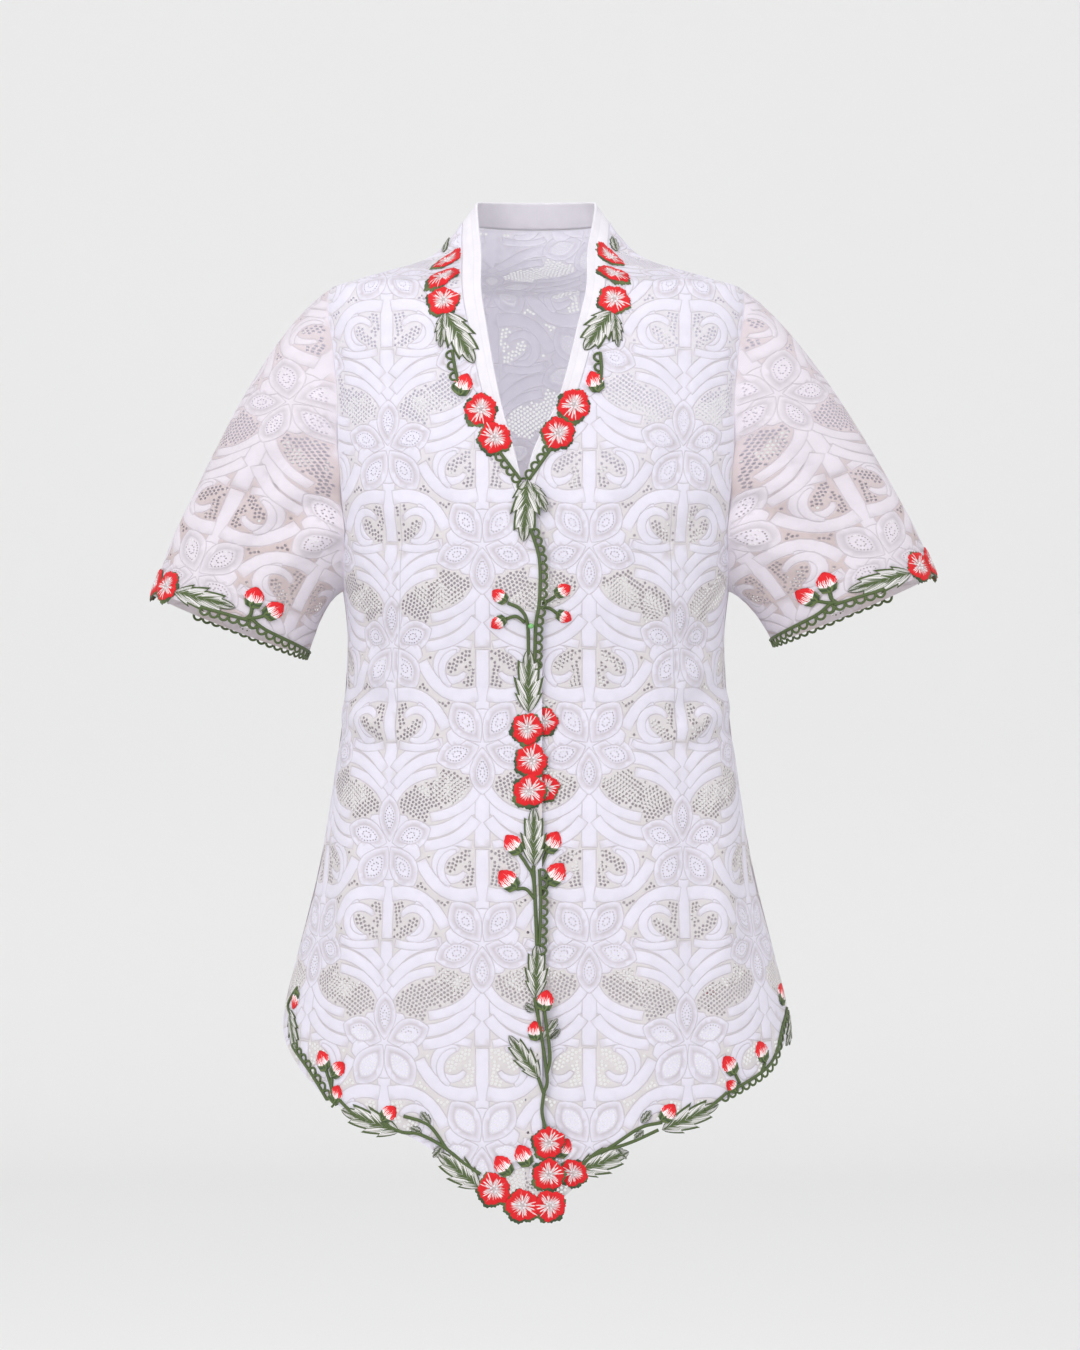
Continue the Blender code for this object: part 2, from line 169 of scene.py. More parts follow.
def bodyPoint(angle, z):
    # angle in degrees, 0 at the centre front and 90 at +X
    turn = np.radians(angle)
    power = 2.0 / bodyForm["roundness"]
    across, ahead = np.sin(turn), np.cos(turn)
    x = halfWidth(z) * np.sign(across) * np.abs(across) ** power
    depth = np.where(ahead > 0.0, frontDepth(z), backDepth(z))
    y = -depth * np.sign(ahead) * np.abs(ahead) ** power
    return np.stack([x, y, z + 0.0 * x], axis=-1)


def angleAt(x, z):
    share = np.minimum(np.abs(x) / halfWidth(z), 1.0)
    return np.sign(x) * np.degrees(np.arcsin(share ** (bodyForm["roundness"] / 2.0)))


def armholeAngle(z):
    tip, low = bodyForm["shoulderTip"], bodyForm["underarm"]
    share = np.clip(2.0 * (z - low) / (tip - low) - 1.0, -1.0, 1.0)
    power = bodyForm["armholePower"]
    return bodyForm["armholeAngle"] * (1.0 - np.abs(share) ** power) ** (1.0 / power)


def facing(points, outward):
    # normals of a grid of points, on the side of the outward directions
    normals = np.cross(np.gradient(points, axis=0), np.gradient(points, axis=1))
    normals /= np.maximum(np.linalg.norm(normals, axis=2, keepdims=True), 1e-12)
    return -normals if (normals * outward).sum() < 0.0 else normals


def lapShare(x, z):
    # how far the under front has sunk behind the lap, from none to all
    return ease(x, *bodyForm["lapAcross"]) * ease(z, *bodyForm["lapDown"])


def wayRound(start):
    # angles run on from the centre front and back from the centre back
    return 1.0 if start == 0.0 else -1.0


def sectionLengths(z, start):
    # distance round the section at height z, from the centre front or back
    angles = np.linspace(0.0, bodyForm["clothSpread"], 131)
    return angles, lengthAlong(bodyPoint(start + wayRound(start) * angles, np.full(angles.shape, z)))


def bodyCloth(start):
    # a flat plan of the body cloth: rows by height, columns by distance round the body
    heights = np.linspace(*bodyForm["clothHeights"], 900)
    down = lengthAlong(bodyPoint(start + wayRound(start) * bodyForm["plumbAngle"], heights))
    down -= np.interp(-bodyForm["underarm"], -heights, down)
    step, reach = bodyForm["clothStep"], bodyForm["clothReach"]
    v = np.arange(-down[-1], -down[0], step)
    u = np.arange(-bodyForm["clothPastCentre"] if start == 0.0 else -reach, reach, step)
    rows = []
    for z in np.interp(-v, down, heights):
        angles, lengths = sectionLengths(z, start)
        angle = np.interp(np.abs(u), lengths, angles) * np.sign(u)
        rows.append(bodyPoint(start + wayRound(start) * angle, np.full(u.shape, z)))
    return {"points": np.array(rows), "u": u[0], "v": v[0], "step": step, "start": start,
            "heights": heights, "down": down}


def flatPlace(cloth, angle, z):
    # angle counts outward from the middle of the panel, always positive at the side
    angles, reach = sectionLengths(z, cloth["start"])
    u = float(np.interp(abs(angle), angles, reach)) * (1.0 if angle >= 0.0 else -1.0)
    return u, -float(np.interp(-z, -cloth["heights"], cloth["down"]))


def dentPush(where, dents, strength, fadeFrom):
    # soft troughs and ridges, as listed: two ends, half width and height, in millimetres
    push = np.zeros(where.shape[:2])
    for x0, y0, x1, y1, wide, high in dents:
        a = np.array([x0, y0])
        run = np.array([x1, y1]) - a
        share = np.clip(((where - a) @ run) / (run @ run), 0.0, 1.0)
        near = np.linalg.norm(where - a - share[..., None] * run, axis=2)
        fade = np.sin(np.pi * np.clip(fadeFrom + (1.0 - 2.0 * fadeFrom) * share, 0.0, 1.0))
        push += 0.001 * high * strength * fade * np.exp(-((near / wide) ** 2))
    return push


def dentCloth(cloth, side, dents):
    points = cloth["points"].copy()
    outward = (0.0, -wayRound(cloth["start"]), 0.0)
    normals = facing(points, outward)
    where = points[..., [0, 2]] * 1000.0
    push = dentPush(where, dents, bodyForm["dentStrength"], bodyForm["dentFade"])
    if cloth["start"] == 0.0 and side > 0:
        push -= bodyForm["lapDepth"] * lapShare(points[..., 0], points[..., 2])
    points += normals * push[..., None]
    points[..., 0] *= side
    return dict(cloth, points=points, normals=facing(points, outward))


def layOn(cloth, u, v, lift):
    # the place in space of flat places on the cloth, lifted off it
    rows, columns = cloth["points"].shape[:2]
    i = np.clip((v - cloth["v"]) / cloth["step"], 0.0, rows - 1.001)
    j = np.clip((u - cloth["u"]) / cloth["step"], 0.0, columns - 1.001)
    i0, j0 = i.astype(int), j.astype(int)
    a, b = (i - i0)[:, None], (j - j0)[:, None]

    def read(grid):
        low = grid[i0, j0] * (1 - b) + grid[i0, j0 + 1] * b
        return low * (1 - a) + (grid[i0 + 1, j0] * (1 - b) + grid[i0 + 1, j0 + 1] * b) * a

    return read(cloth["points"]) + read(cloth["normals"]) * np.asarray(lift)[:, None]


# The lace repeat is drawn in millimetres of flat cloth.
lace = {
    "repeat": 165.0,
    "fine": 0.25,              # step of the drawn repeat
    "origin": (126.5, -47.0),  # an upright flower, out from the centre front and below the underarm
    "netPitch": (3.45, 3.0),   # round the rows, between the rows
    "netRows": (8, 46),
    "netApart": 2.4,
    "netFromShape": 2.0,
    # degrees, start, length and width of the petals on one side of a flower
    "petals": ((54, 12, 17, 12), (19, 3, 38, 19), (-17, 14, 18, 12), (-54, 3, 40, 20)),
    "middlePetal": (90, 2, 39, 16),
    "inset": (0.17, 0.68, 0.6),   # start, length and width of the smaller petal on a long one
    "petalPitch": 2.4,
    "prickRings": (0.72, 0.32),
    "prickSize": 0.85,
    "netHole": ((1.12, 0.66), (0.0, 1.32), (-1.12, 0.66), (-1.12, -0.66), (0.0, -1.32), (1.12, -0.66)),
    "prick": ((0.9, 0.0), (0.0, 0.9), (-0.9, 0.0), (0.0, -0.9)),
    "holeGap": (3.4, 2.2),     # from the outline, from a seam
    "lineGap": (0.8, 1.2),
    "plainPitch": (5.5, 2.6),  # between plain points, and how far every second row is shifted
    "plainApart": 2.4,
    "grooveWidth": 0.44,
    "grooveGain": 2.6,
    "grooveSide": 0.75,
    "netSoftness": 0.5,
    "edgeFade": 1.5,
    "seamSide": 0.7,
    "seamFade": 0.6,
    "netSink": 0.4,
    "relief": 0.00028,         # metres
}


def petalOutline(angle, start, length, width, steps=24):
    t = np.linspace(0.0, 2.0 * np.pi, steps, endpoint=False)
    along = start + length * 0.5 * (1.0 - np.cos(t))
    half = 0.66 * width * np.sin(t) * np.abs(np.sin(t)) ** 0.75 * (1.0 - 0.20 * np.cos(t))
    c, s = math.cos(math.radians(angle)), math.sin(math.radians(angle))
    return np.stack([along * c - half * s, along * s + half * c], 1)


def bandOutline(points, startWidth, endWidth, steps=9):
    p = np.array(points, float)
    t = np.linspace(0.0, 1.0, steps)[:, None]
    if len(p) == 2:
        path = p[0] + (p[1] - p[0]) * t
    else:
        path = (1 - t) ** 2 * p[0] + 2 * (1 - t) * t * p[1] + t ** 2 * p[2]
    d = np.gradient(path, axis=0)
    d /= np.linalg.norm(d, axis=1)[:, None]
    across = np.stack([-d[:, 1], d[:, 0]], 1) * 0.5 * (startWidth + (endWidth - startWidth) * t)
    return np.concatenate([path + across, (path - across)[::-1]])


def curlOutline(centre, radius, width, first, last, steps=16):
    t = np.radians(np.linspace(first, last, steps))
    ray = np.stack([np.cos(t), np.sin(t)], 1)
    taper = np.sin(np.linspace(0.12, np.pi - 0.12, steps))[:, None] ** 0.35 * width * 0.5
    centre = np.array(centre, float)
    return np.concatenate([centre + ray * (radius + taper), (centre + ray * (radius - taper))[::-1]])


def laceMotif():
    # layers rise from the bands to the petals to the middle petal
    inset = lace["inset"]
    shapes = [(0, bandOutline([(0, -4), (0, -79)], 12, 11)),
              (0, bandOutline([(0, -80.5), (0, -140)], 13, 11))]
    for s in (1.0, -1.0):
        half = [bandOutline([(4, -42), (36, -34), (52, -69)], 12, 10),
                bandOutline([(5, -104), (18, -84), (49, -81)], 10, 9),
                curlOutline((57, -16), 13.0, 8.0, 60, 330),
                bandOutline([(24, 12), (52, 4), (78, 34)], 11, 9),
                curlOutline((19, -62), 15.5, 6.5, -80, 60),
                bandOutline([(36, -2), (50, 6), (74, 0)], 6, 7),
                bandOutline([(4, 36), (14, 56), (44, 60)], 9, 8)]
        shapes += [(0, outline * (s, 1.0)) for outline in half]
        for angle, start, length, width in lace["petals"]:
            shapes.append((1, petalOutline(angle, start, length, width) * (s, 1.0)))
            if length > 30:  # the long petals have a smaller one on them
                inner = petalOutline(angle, start + length * inset[0], length * inset[1], width * inset[2], 16)
                shapes.append((3, inner * (s, 1.0)))
    turn = np.linspace(0.0, 2.0 * np.pi, 28, endpoint=False)
    shapes.append((0, 27.0 * np.stack([np.cos(turn), np.sin(turn)], 1) - (0.0, 3.0)))
    shapes.append((2, petalOutline(*lace["middlePetal"])))
    shapes.append((3, petalOutline(90, 9, 26, 9, 16)))
    return shapes


def insidePlan(points, plan):
    found = np.zeros(len(points), bool)
    x0, y0 = plan[:, 0][None], plan[:, 1][None]
    x1, y1 = np.roll(plan[:, 0], -1)[None], np.roll(plan[:, 1], -1)[None]
    for first in range(0, len(points), 8000):
        x = points[first:first + 8000, 0][:, None]
        y = points[first:first + 8000, 1][:, None]
        cross = ((y0 > y) != (y1 > y)) & (x < (x1 - x0) * (y - y0) / (y1 - y0 + 1e-12) + x0)
        found[first:first + 8000] = cross.sum(1) % 2 == 1
    return found


def edgeDistance(points, plan):
    run = np.roll(plan, -1, 0) - plan
    size = (run * run).sum(1) + 1e-15
    found = np.zeros(len(points))
    for first in range(0, len(points), 8000):
        away = points[first:first + 8000, None, :] - plan[None]
        t = np.clip((away * run[None]).sum(2) / size[None], 0.0, 1.0)
        near = away - t[..., None] * run[None]
        found[first:first + 8000] = np.sqrt((near ** 2).sum(2).min(1))
    return found


def treeOf(points):
    tree = KDTree(len(points))
    for k, (x, y) in enumerate(points):
        tree.insert((x, y, 0.0), k)
    tree.balance()
    return tree


def nearLine(points, line, closed=True, step=0.4):
    # distance from many points to one long line, by its closely set places
    ends = np.concatenate([line, line[:1]]) if closed else line
    reach = lengthAlong(ends)
    at = np.arange(0.0, reach[-1], step)
    tree = treeOf(np.stack([np.interp(at, reach, ends[:, k]) for k in (0, 1)], 1))
    return np.array([tree.find((a, b, 0.0))[2] for a, b in points.tolist()])


def topShapes(placed, count):
    # which shape lies on top at each place of one repeat
    fine = lace["fine"]
    top = np.full((count, count), -1)
    for layer, order, outline in sorted(placed, key=lambda shape: shape[:2]):
        low = np.maximum(np.floor(outline.min(0) / fine).astype(int), 0)
        high = np.minimum(np.ceil(outline.max(0) / fine).astype(int) + 1, count)
        if (high <= low).any():
            continue
        x, y = np.meshgrid(np.arange(low[0], high[0]), np.arange(low[1], high[1]))
        spots = np.stack([x.ravel(), y.ravel()], 1)
        spots = spots[insidePlan(spots * fine, outline)]
        top[spots[:, 1], spots[:, 0]] = order
    return top


def soften(field, radius):
    wave = np.fft.fftfreq(len(field), lace["fine"])
    blur = np.exp(-2.0 * (np.pi * radius) ** 2 * (wave[:, None] ** 2 + wave[None] ** 2))
    return np.real(np.fft.ifft2(np.fft.fft2(field) * blur))


def shownLines(shapes, placed):
    # visible stretches of every outline, with a line on each side to keep the groove narrow
    lines, side = [], lace["grooveSide"]
    for order, (layer, outline) in enumerate(shapes):
        over = [plan for other, number, plan in placed if (other, number) > (layer, order)
                and (plan.max(0) > outline.min(0)).all() and (plan.min(0) < outline.max(0)).all()
                and number != order]
        d = np.roll(outline, -1, 0) - np.roll(outline, 1, 0)
        d /= np.linalg.norm(d, axis=1)[:, None]
        aside = np.stack([d[:, 1], -d[:, 0]], 1)
        for offset in (0.0, side, -side) if layer < 3 else (0.0,):
            line = outline + aside * offset
            shown = np.ones(len(line), bool)
            for plan in over:
                shown &= ~insidePlan(line, plan)
            for k in range(len(line)):
                after = (k + 1) % len(line)
                if shown[k] or shown[after]:
                    lines.append((line[k], line[after]))
    return lines


def petalPricks(placed, top):
    # rows of pricks that follow each petal's edge
    size = lace["repeat"]
    holes = []
    for layer, order, outline in placed:
        if layer != 3 or (outline.max(0) < 0).any() or (outline.min(0) > size).any():
            continue
        middle = outline.mean(0)
        for share in lace["prickRings"]:
            ring = middle + (np.concatenate([outline, outline[:1]]) - middle) * share
            run = lengthAlong(ring)
            dots = max(int(run[-1] / lace["petalPitch"]), 3)
            at = (np.arange(dots) + 0.5) * run[-1] / dots
            inner = np.stack([np.interp(at, run, ring[:, k]) for k in (0, 1)], 1)
            inner = inner[(inner >= 0).all(1) & (inner < size).all(1)]
            cells = (inner / lace["fine"]).astype(int) % len(top)
            inner = inner[top[cells[:, 1], cells[:, 0]] == order]
            holes += [(x, y, 0.0, lace["prickSize"]) for x, y in inner]
    return holes


def laceRepeat():
    size = lace["repeat"]
    shapes = []
    for du, dv, turn in ((0.0, 0.0, 1.0), (size / 2, size / 2, -1.0)):
        shapes += [(layer, outline * turn + (du, dv)) for layer, outline in laceMotif()]
    shapes.sort(key=lambda shape: shape[0])
    placed = [(layer, order, outline + (i * size, j * size)) for order, (layer, outline) in enumerate(shapes)
              for i in (-1, 0, 1) for j in (-1, 0, 1)]
    top = topShapes(placed, int(size / lace["fine"]))
    edge = ((top != np.roll(top, 1, 0)) | (top != np.roll(top, 1, 1))).astype(float)
    groove = np.clip(soften(edge, lace["grooveWidth"] * 0.5) * lace["grooveGain"], 0.0, 1.0)
    net = np.clip(soften((top < 0).astype(float), lace["netSoftness"]), 0.0, 1.0)
    holes = netHoles([outline for _, _, outline in placed]) + petalPricks(placed, top)
    return {"groove": groove, "net": net, "lines": np.array(shownLines(shapes, placed)),
            "holes": np.array(holes)}


def netHoles(plans):
    size = lace["repeat"]
    plans = [p for p in plans if (p.max(0) > -8).all() and (p.min(0) < size + 8).all()]
    middles = np.array([(x + i * size, y + j * size) for x, y in ((0, 0), (size / 2, size / 2))
                        for i in (-1, 0, 1, 2) for j in (-1, 0, 1, 2)])
    found = []
    for middle in middles:
        for k in range(*lace["netRows"]):
            radius = k * lace["netPitch"][1]
            count = int(round(2 * np.pi * radius / lace["netPitch"][0]))
            turn = (np.arange(count) + 0.5 * (k % 2)) * 2 * np.pi / count
            spots = middle + radius * np.stack([np.cos(turn), np.sin(turn)], 1)
            keep = ((spots >= 0) & (spots < size)).all(1)
            spots, turn = spots[keep], turn[keep]
            if len(spots) == 0:
                continue
            away = np.linalg.norm(spots[:, None] - middles[None], axis=2)
            away.sort(axis=1)
            own = (away[:, 0] > radius - 1e-6) & (away[:, 1] - radius > lace["netApart"])
            found += [(x, y, t, 1.0) for (x, y), t in zip(spots[own], turn[own])]
    found = np.array(found)
    keep = np.ones(len(found), bool)
    for plan in plans:
        near = keep & (found[:, :2] > plan.min(0) - 3).all(1) & (found[:, :2] < plan.max(0) + 3).all(1)
        near = np.flatnonzero(near)
        if len(near):
            spots = found[near, :2]
            close = edgeDistance(spots, plan) < lace["netFromShape"]
            keep[near[insidePlan(spots, plan) | close]] = False
    return [tuple(row) for row in found[keep]]


def readField(field, u, v):
    # u and v in millimetres of the repeat, read smoothly and round the repeat's edge
    size = len(field)
    x, y = u / lace["fine"] % size, v / lace["fine"] % size
    i, j = np.floor(y).astype(int), np.floor(x).astype(int)
    a, b = y - i, x - j
    i, j, i1, j1 = i % size, j % size, (i + 1) % size, (j + 1) % size
    near = (field[i, j] * (1 - b) + field[i, j1] * b) * (1 - a)
    return near + (field[i1, j] * (1 - b) + field[i1, j1] * b) * a


repeat = laceRepeat()
print("lace repeat drawn:", len(repeat["holes"]), "holes,", len(repeat["lines"]), "lines")


def newMesh(name, verts, faces):
    mesh = bpy.data.meshes.new(name)
    mesh.from_pydata(verts, [], faces)
    return mesh


def addPiece(mesh):
    # shows a finished mesh as one smooth piece of the same name
    mesh.update()
    mesh.shade_smooth()
    piece = bpy.data.objects.new(mesh.name, mesh)
    bpy.context.scene.collection.objects.link(piece)
    return piece


def markPoints(mesh, label, values):
    marks = mesh.attributes.new(label, "FLOAT_VECTOR", "POINT")
    marks.data.foreach_set("vector", np.array(values, float).ravel())


def layFlat(mesh, places):
    # keeps the flat place of every vertex, in metres, as a uv map
    corners = np.zeros(len(mesh.loops), int)
    mesh.loops.foreach_get("vertex_index", corners)
    mesh.uv_layers.new(name="flat").data.foreach_set("uv", np.array(places)[corners].ravel())


def gridFaces(rows, columns, closed=True, first=0, flip=False):
    # quads between rows of vertices, all round when closed
    faces = []
    for i in range(rows - 1):
        for k in range(columns if closed else columns - 1):
            a, b = first + i * columns + k, first + i * columns + (k + 1) % columns
            faces.append((a, b, b + columns, a + columns) if flip else (a, a + columns, b + columns, b))
    return faces


def cutLace(name, cloth, plan, seams=(), shift=(0.0, 0.0)):
    # one panel: the plan's outline filled with the lace repeat, then laid on the body
    flat, size = plan * 1000.0, lace["repeat"]
    origin = np.array(lace["origin"]) + shift
    low = np.floor((flat.min(0) - origin) / size).astype(int) - 1
    high = np.ceil((flat.max(0) - origin) / size).astype(int) + 1
    cells = [np.array([i, j]) * size + origin for i in range(low[0], high[0]) for j in range(low[1], high[1])]
    cells = [cell for cell in cells if (cell < flat.max(0)).all() and (cell + size > flat.min(0)).all()]
    seams = [np.array(seam, float) for seam in seams]

    def clear(spots, edgeGap, seamGap):
        # which spots lie inside and away from the outline and the seams
        keep = insidePlan(spots, flat)
        keep[keep] = nearLine(spots[keep], flat) > edgeGap
        for seam in seams:
            keep[keep] = nearLine(spots[keep], seam, False) > seamGap
        return keep

    holes = np.concatenate([repeat["holes"] + (*cell, 0.0, 0.0) for cell in cells])
    holes = holes[clear(holes[:, :2], *lace["holeGap"])]
    lines = np.concatenate([repeat["lines"] + cell for cell in cells])
    lines = lines[clear(lines.reshape(-1, 2), *lace["lineGap"]).reshape(-1, 2).all(1)]
    verts, edges, faces = [tuple(p) for p in flat], [], [list(range(len(flat)))]
    for a, b in lines:
        edges.append((len(verts), len(verts) + 1))
        verts += [tuple(a), tuple(b)]
    for seam in seams:
        for offset in (-lace["seamSide"], 0.0, lace["seamSide"]):
            first = len(verts)
            verts += [(x + offset, y) for x, y in seam]
            edges += [(first + k, first + k + 1) for k in range(len(seam) - 1)]
    netHole, prick = np.array(lace["netHole"]), np.array(lace["prick"])
    for x, y, turn, scale in holes:
        shape = netHole if scale == 1.0 else prick * scale
        c, s = math.cos(turn), math.sin(turn)
        faces.append(list(range(len(verts), len(verts) + len(shape))))
        verts += [(x + p * c - q * s, y + p * s + q * c) for p, q in shape]
    # plain points between, so the cloth bends smoothly
    known = treeOf(verts)
    pitch, shifted = lace["plainPitch"]
    x, y = np.meshgrid(*(np.arange(flat[:, k].min(), flat[:, k].max(), pitch) for k in (0, 1)))
    spots = np.stack([(x + shifted * (np.arange(len(x)) % 2)[:, None]).ravel(), y.ravel()], 1)
    spots = spots[insidePlan(spots, flat)]
    verts += [tuple(p) for p in spots if known.find((*p, 0.0))[2] > lace["plainApart"]]
    made = delaunay_2d_cdt([Vector(p) for p in verts], edges, faces, 0, 1e-4)
    kept = np.array([tri for tri, owners in zip(made[2], made[5]) if owners == [0]])
    used, kept = np.unique(kept, return_inverse=True)
    kept, spots = kept.reshape(-1, 3), np.array([tuple(p) for p in made[0]])[used]
    groove = readField(repeat["groove"], *(spots - origin).T)
    groove *= np.clip(nearLine(spots, flat) / lace["edgeFade"], 0.0, 1.0)
    net = readField(repeat["net"], *(spots - origin).T)
    seamed = np.zeros(len(spots))
    for seam in seams:
        near = nearLine(spots, seam, False, 0.1)
        seamed = np.maximum(seamed, np.clip(1.0 - near / lace["seamFade"], 0.0, 1.0))
    lift = lace["relief"] * (1.0 - groove - lace["netSink"] * net - seamed) - lace["relief"]
    places = layOn(cloth, *(spots * 0.001).T, lift)
    outward = layOn(cloth, *(spots * 0.001).T, lift + 0.01) - places
    a, b, c = (places[kept[:, k]] for k in (0, 1, 2))
    if (np.cross(b - a, c - a) * outward[kept[:, 0]]).sum() < 0.0:
        kept = kept[:, ::-1]
    mesh = newMesh(name, places.tolist(), kept.tolist())
    markPoints(mesh, "lace", np.stack([groove, net, seamed], 1))
    layFlat(mesh, spots * 0.001)
    mesh.materials.append(sleeveShadedLace if "sleeve" in name else bodyLace)
    x, y = plan.T
    area = 0.5 * abs(np.sum(x * np.roll(y, -1) - y * np.roll(x, -1)))
    print(name, len(kept), "triangles")
    return addPiece(mesh), area


def newGroup(name, inputs, outputs, kind="ShaderNodeTree"):
    # sockets are (label, kind) or (label, kind, value)
    group = bpy.data.node_groups.new(name, kind)
    for way, sockets in (("INPUT", inputs), ("OUTPUT", outputs)):
        for label, socketKind, *value in sockets:
            socket = group.interface.new_socket(name=label, in_out=way, socket_type="NodeSocket" + socketKind)
            if value:
                socket.default_value = value[0]
    return group, group.nodes.new("NodeGroupInput"), group.nodes.new("NodeGroupOutput")


def addNode(tree, kind, settings=(), **values):
    node = tree.nodes.new(kind)
    for key, value in settings:
        setattr(node, key, value)
    for key, value in values.items():
        socket = node.inputs[int(key[1:])] if key[1:].isdigit() else node.inputs[key]
        if isinstance(value, bpy.types.NodeSocket):
            tree.links.new(value, socket)
        else:
            socket.default_value = value
    return node


def mathNode(tree, operation, first, second=0.0, clamp=False):
    settings = [("operation", operation), ("use_clamp", clamp)]
    return addNode(tree, "ShaderNodeMath", settings, _0=first, _1=second).outputs[0]


def times(tree, first, second):
    return mathNode(tree, "MULTIPLY", first, second)


def plus(tree, first, second):
    return mathNode(tree, "ADD", first, second)


def minus(tree, first, second):
    return mathNode(tree, "SUBTRACT", first, second)


def rampBetween(tree, value, low, high):
    node = addNode(tree, "ShaderNodeMapRange", [("interpolation_type", "SMOOTHSTEP")],
                   Value=value, _1=low, _2=high, _3=0.0, _4=1.0)
    return node.outputs[0]


def mixColour(tree, share, first, second):
    node = addNode(tree, "ShaderNodeMix", [("data_type", "RGBA")], _0=share, _6=first, _7=second)
    return node.outputs[2]


def threadGroup():
    # fine raised threads across a surface: x runs along them, y crosses them
    group, given, result = newGroup("raisedThreads", [
        ("Vector", "Vector"), ("Density", "Float", 1500.0), ("Slant", "Float", 0.0), ("Stray", "Float", 0.6)],
        [("Height", "Float")])
    split = addNode(group, "ShaderNodeSeparateXYZ", _0=given.outputs["Vector"])
    noise = addNode(group, "ShaderNodeTexNoise", Vector=given.outputs["Vector"], Scale=240.0, Detail=3.0)
    place = plus(group, split.outputs[0], times(group, split.outputs[1], given.outputs["Slant"]))
    wander = times(group, times(group, noise.outputs[0], given.outputs["Stray"]), 6.0)
    wave = mathNode(group, "SINE", plus(group, times(group, place, given.outputs["Density"]), wander))
    group.links.new(times(group, plus(group, wave, 1.0), 0.5), result.inputs["Height"])
    return group


def mottleGroup():
    # slow uneven tone over cloth, around one
    group, given, result = newGroup("clothMottle", [
        ("Vector", "Vector"), ("Scale", "Float", 14.0), ("Amount", "Float", 0.1)], [("Tone", "Float")])
    noise = addNode(group, "ShaderNodeTexNoise", Vector=given.outputs["Vector"],
                    Scale=given.outputs["Scale"], Detail=4.0)
    away = minus(group, noise.outputs[0], 0.5)
    group.links.new(plus(group, times(group, away, given.outputs["Amount"]), 1.0), result.inputs["Tone"])
    return group


raisedThreads = threadGroup()
clothMottle = mottleGroup()


def newMaterial(name, roughness, sheen=0.0, coat=0.0, specular=0.5):
    material = bpy.data.materials.new(name)
    material.use_nodes = True
    shader = material.node_tree.nodes["Principled BSDF"]
    for label, value in (("Roughness", roughness), ("Sheen Weight", sheen), ("Coat Weight", coat),
                         ("Specular IOR Level", specular)):
        shader.inputs[label].default_value = value
    return material, material.node_tree, shader


def useGroup(tree, group, **values):
    node = tree.nodes.new("ShaderNodeGroup")
    node.node_tree = group
    for key, value in values.items():
        if isinstance(value, bpy.types.NodeSocket):
            tree.links.new(value, node.inputs[key])
        else:
            node.inputs[key].default_value = value
    return node


def bumpFrom(tree, shader, height, distance):
    bump = addNode(tree, "ShaderNodeBump", Height=height, Distance=distance, Strength=1.0)
    tree.links.new(bump.outputs[0], shader.inputs["Normal"])


def readMarks(tree, label):
    # the three numbers kept on every vertex, together and apart
    marks = addNode(tree, "ShaderNodeAttribute", [("attribute_name", label)]).outputs["Vector"]
    return marks, addNode(tree, "ShaderNodeSeparateXYZ", _0=marks).outputs


def shadeEvenly(tree, shader, colour, amount):
    shaded = addNode(tree, "ShaderNodeVectorMath", [("operation", "SCALE")], _0=colour, Scale=amount)
    tree.links.new(shaded.outputs[0], shader.inputs["Base Color"])


laceLook = {
    "white": (0.79, 0.76, 0.865, 1.0),
    # painted shade: the sleeves' white and net are darker and warmer, as the sleeves turn away from the light
    "sleeveShadedWhite": (0.76, 0.705, 0.775, 1.0),
    "sleeveNetShade": (0.60, 0.50, 0.50, 1.0),
    "bandWhite": (0.82, 0.79, 0.85, 1.0),
    # painted shade: this grey darkens the sunk outlines between the lace shapes
    "groove": (0.55, 0.50, 0.545, 1.0),
    # painted shade: the net is darkened for the shaded inside seen through its holes
    "net": (0.70, 0.66, 0.67, 1.0),
    # painted shade and painted light for the inside faces: darker and browner low down, lighter toward the
    # neck opening
    "inside": (0.57, 0.51, 0.49, 1.0),
    "litNeckInside": (0.80, 0.79, 0.86, 1.0),
    "glow": (0.185, 0.178, 0.198, 1.0),   # light that comes through the cloth to its inside
    "innerGlow": 0.42,   # share of it below the neck opening
    "seam": (0.50, 0.47, 0.52, 1.0),
    "grooveShadeShare": 0.85,
    "seamShare": 0.8,
    "insideShadeShare": 0.6,
    "openHeights": (-0.26, -0.13),   # the neck opening lets light in above these
    "netFade": 0.45,
    "threads": {"Density": 9000.0, "Slant": 0.25, "Stray": 0.5},
    "crossed": {"Density": 600.0, "Slant": 14.0, "Stray": 0.4},
    "mottle": {"Scale": 60.0, "Amount": 0.16},
    # painted shade between the fine threads: how much the low places darken the white, and from where
    "weave": (0.12, 0.93),           # how much it darkens the white, and from where
    "grooveBump": 1.4,
    "bump": 0.00025,
}


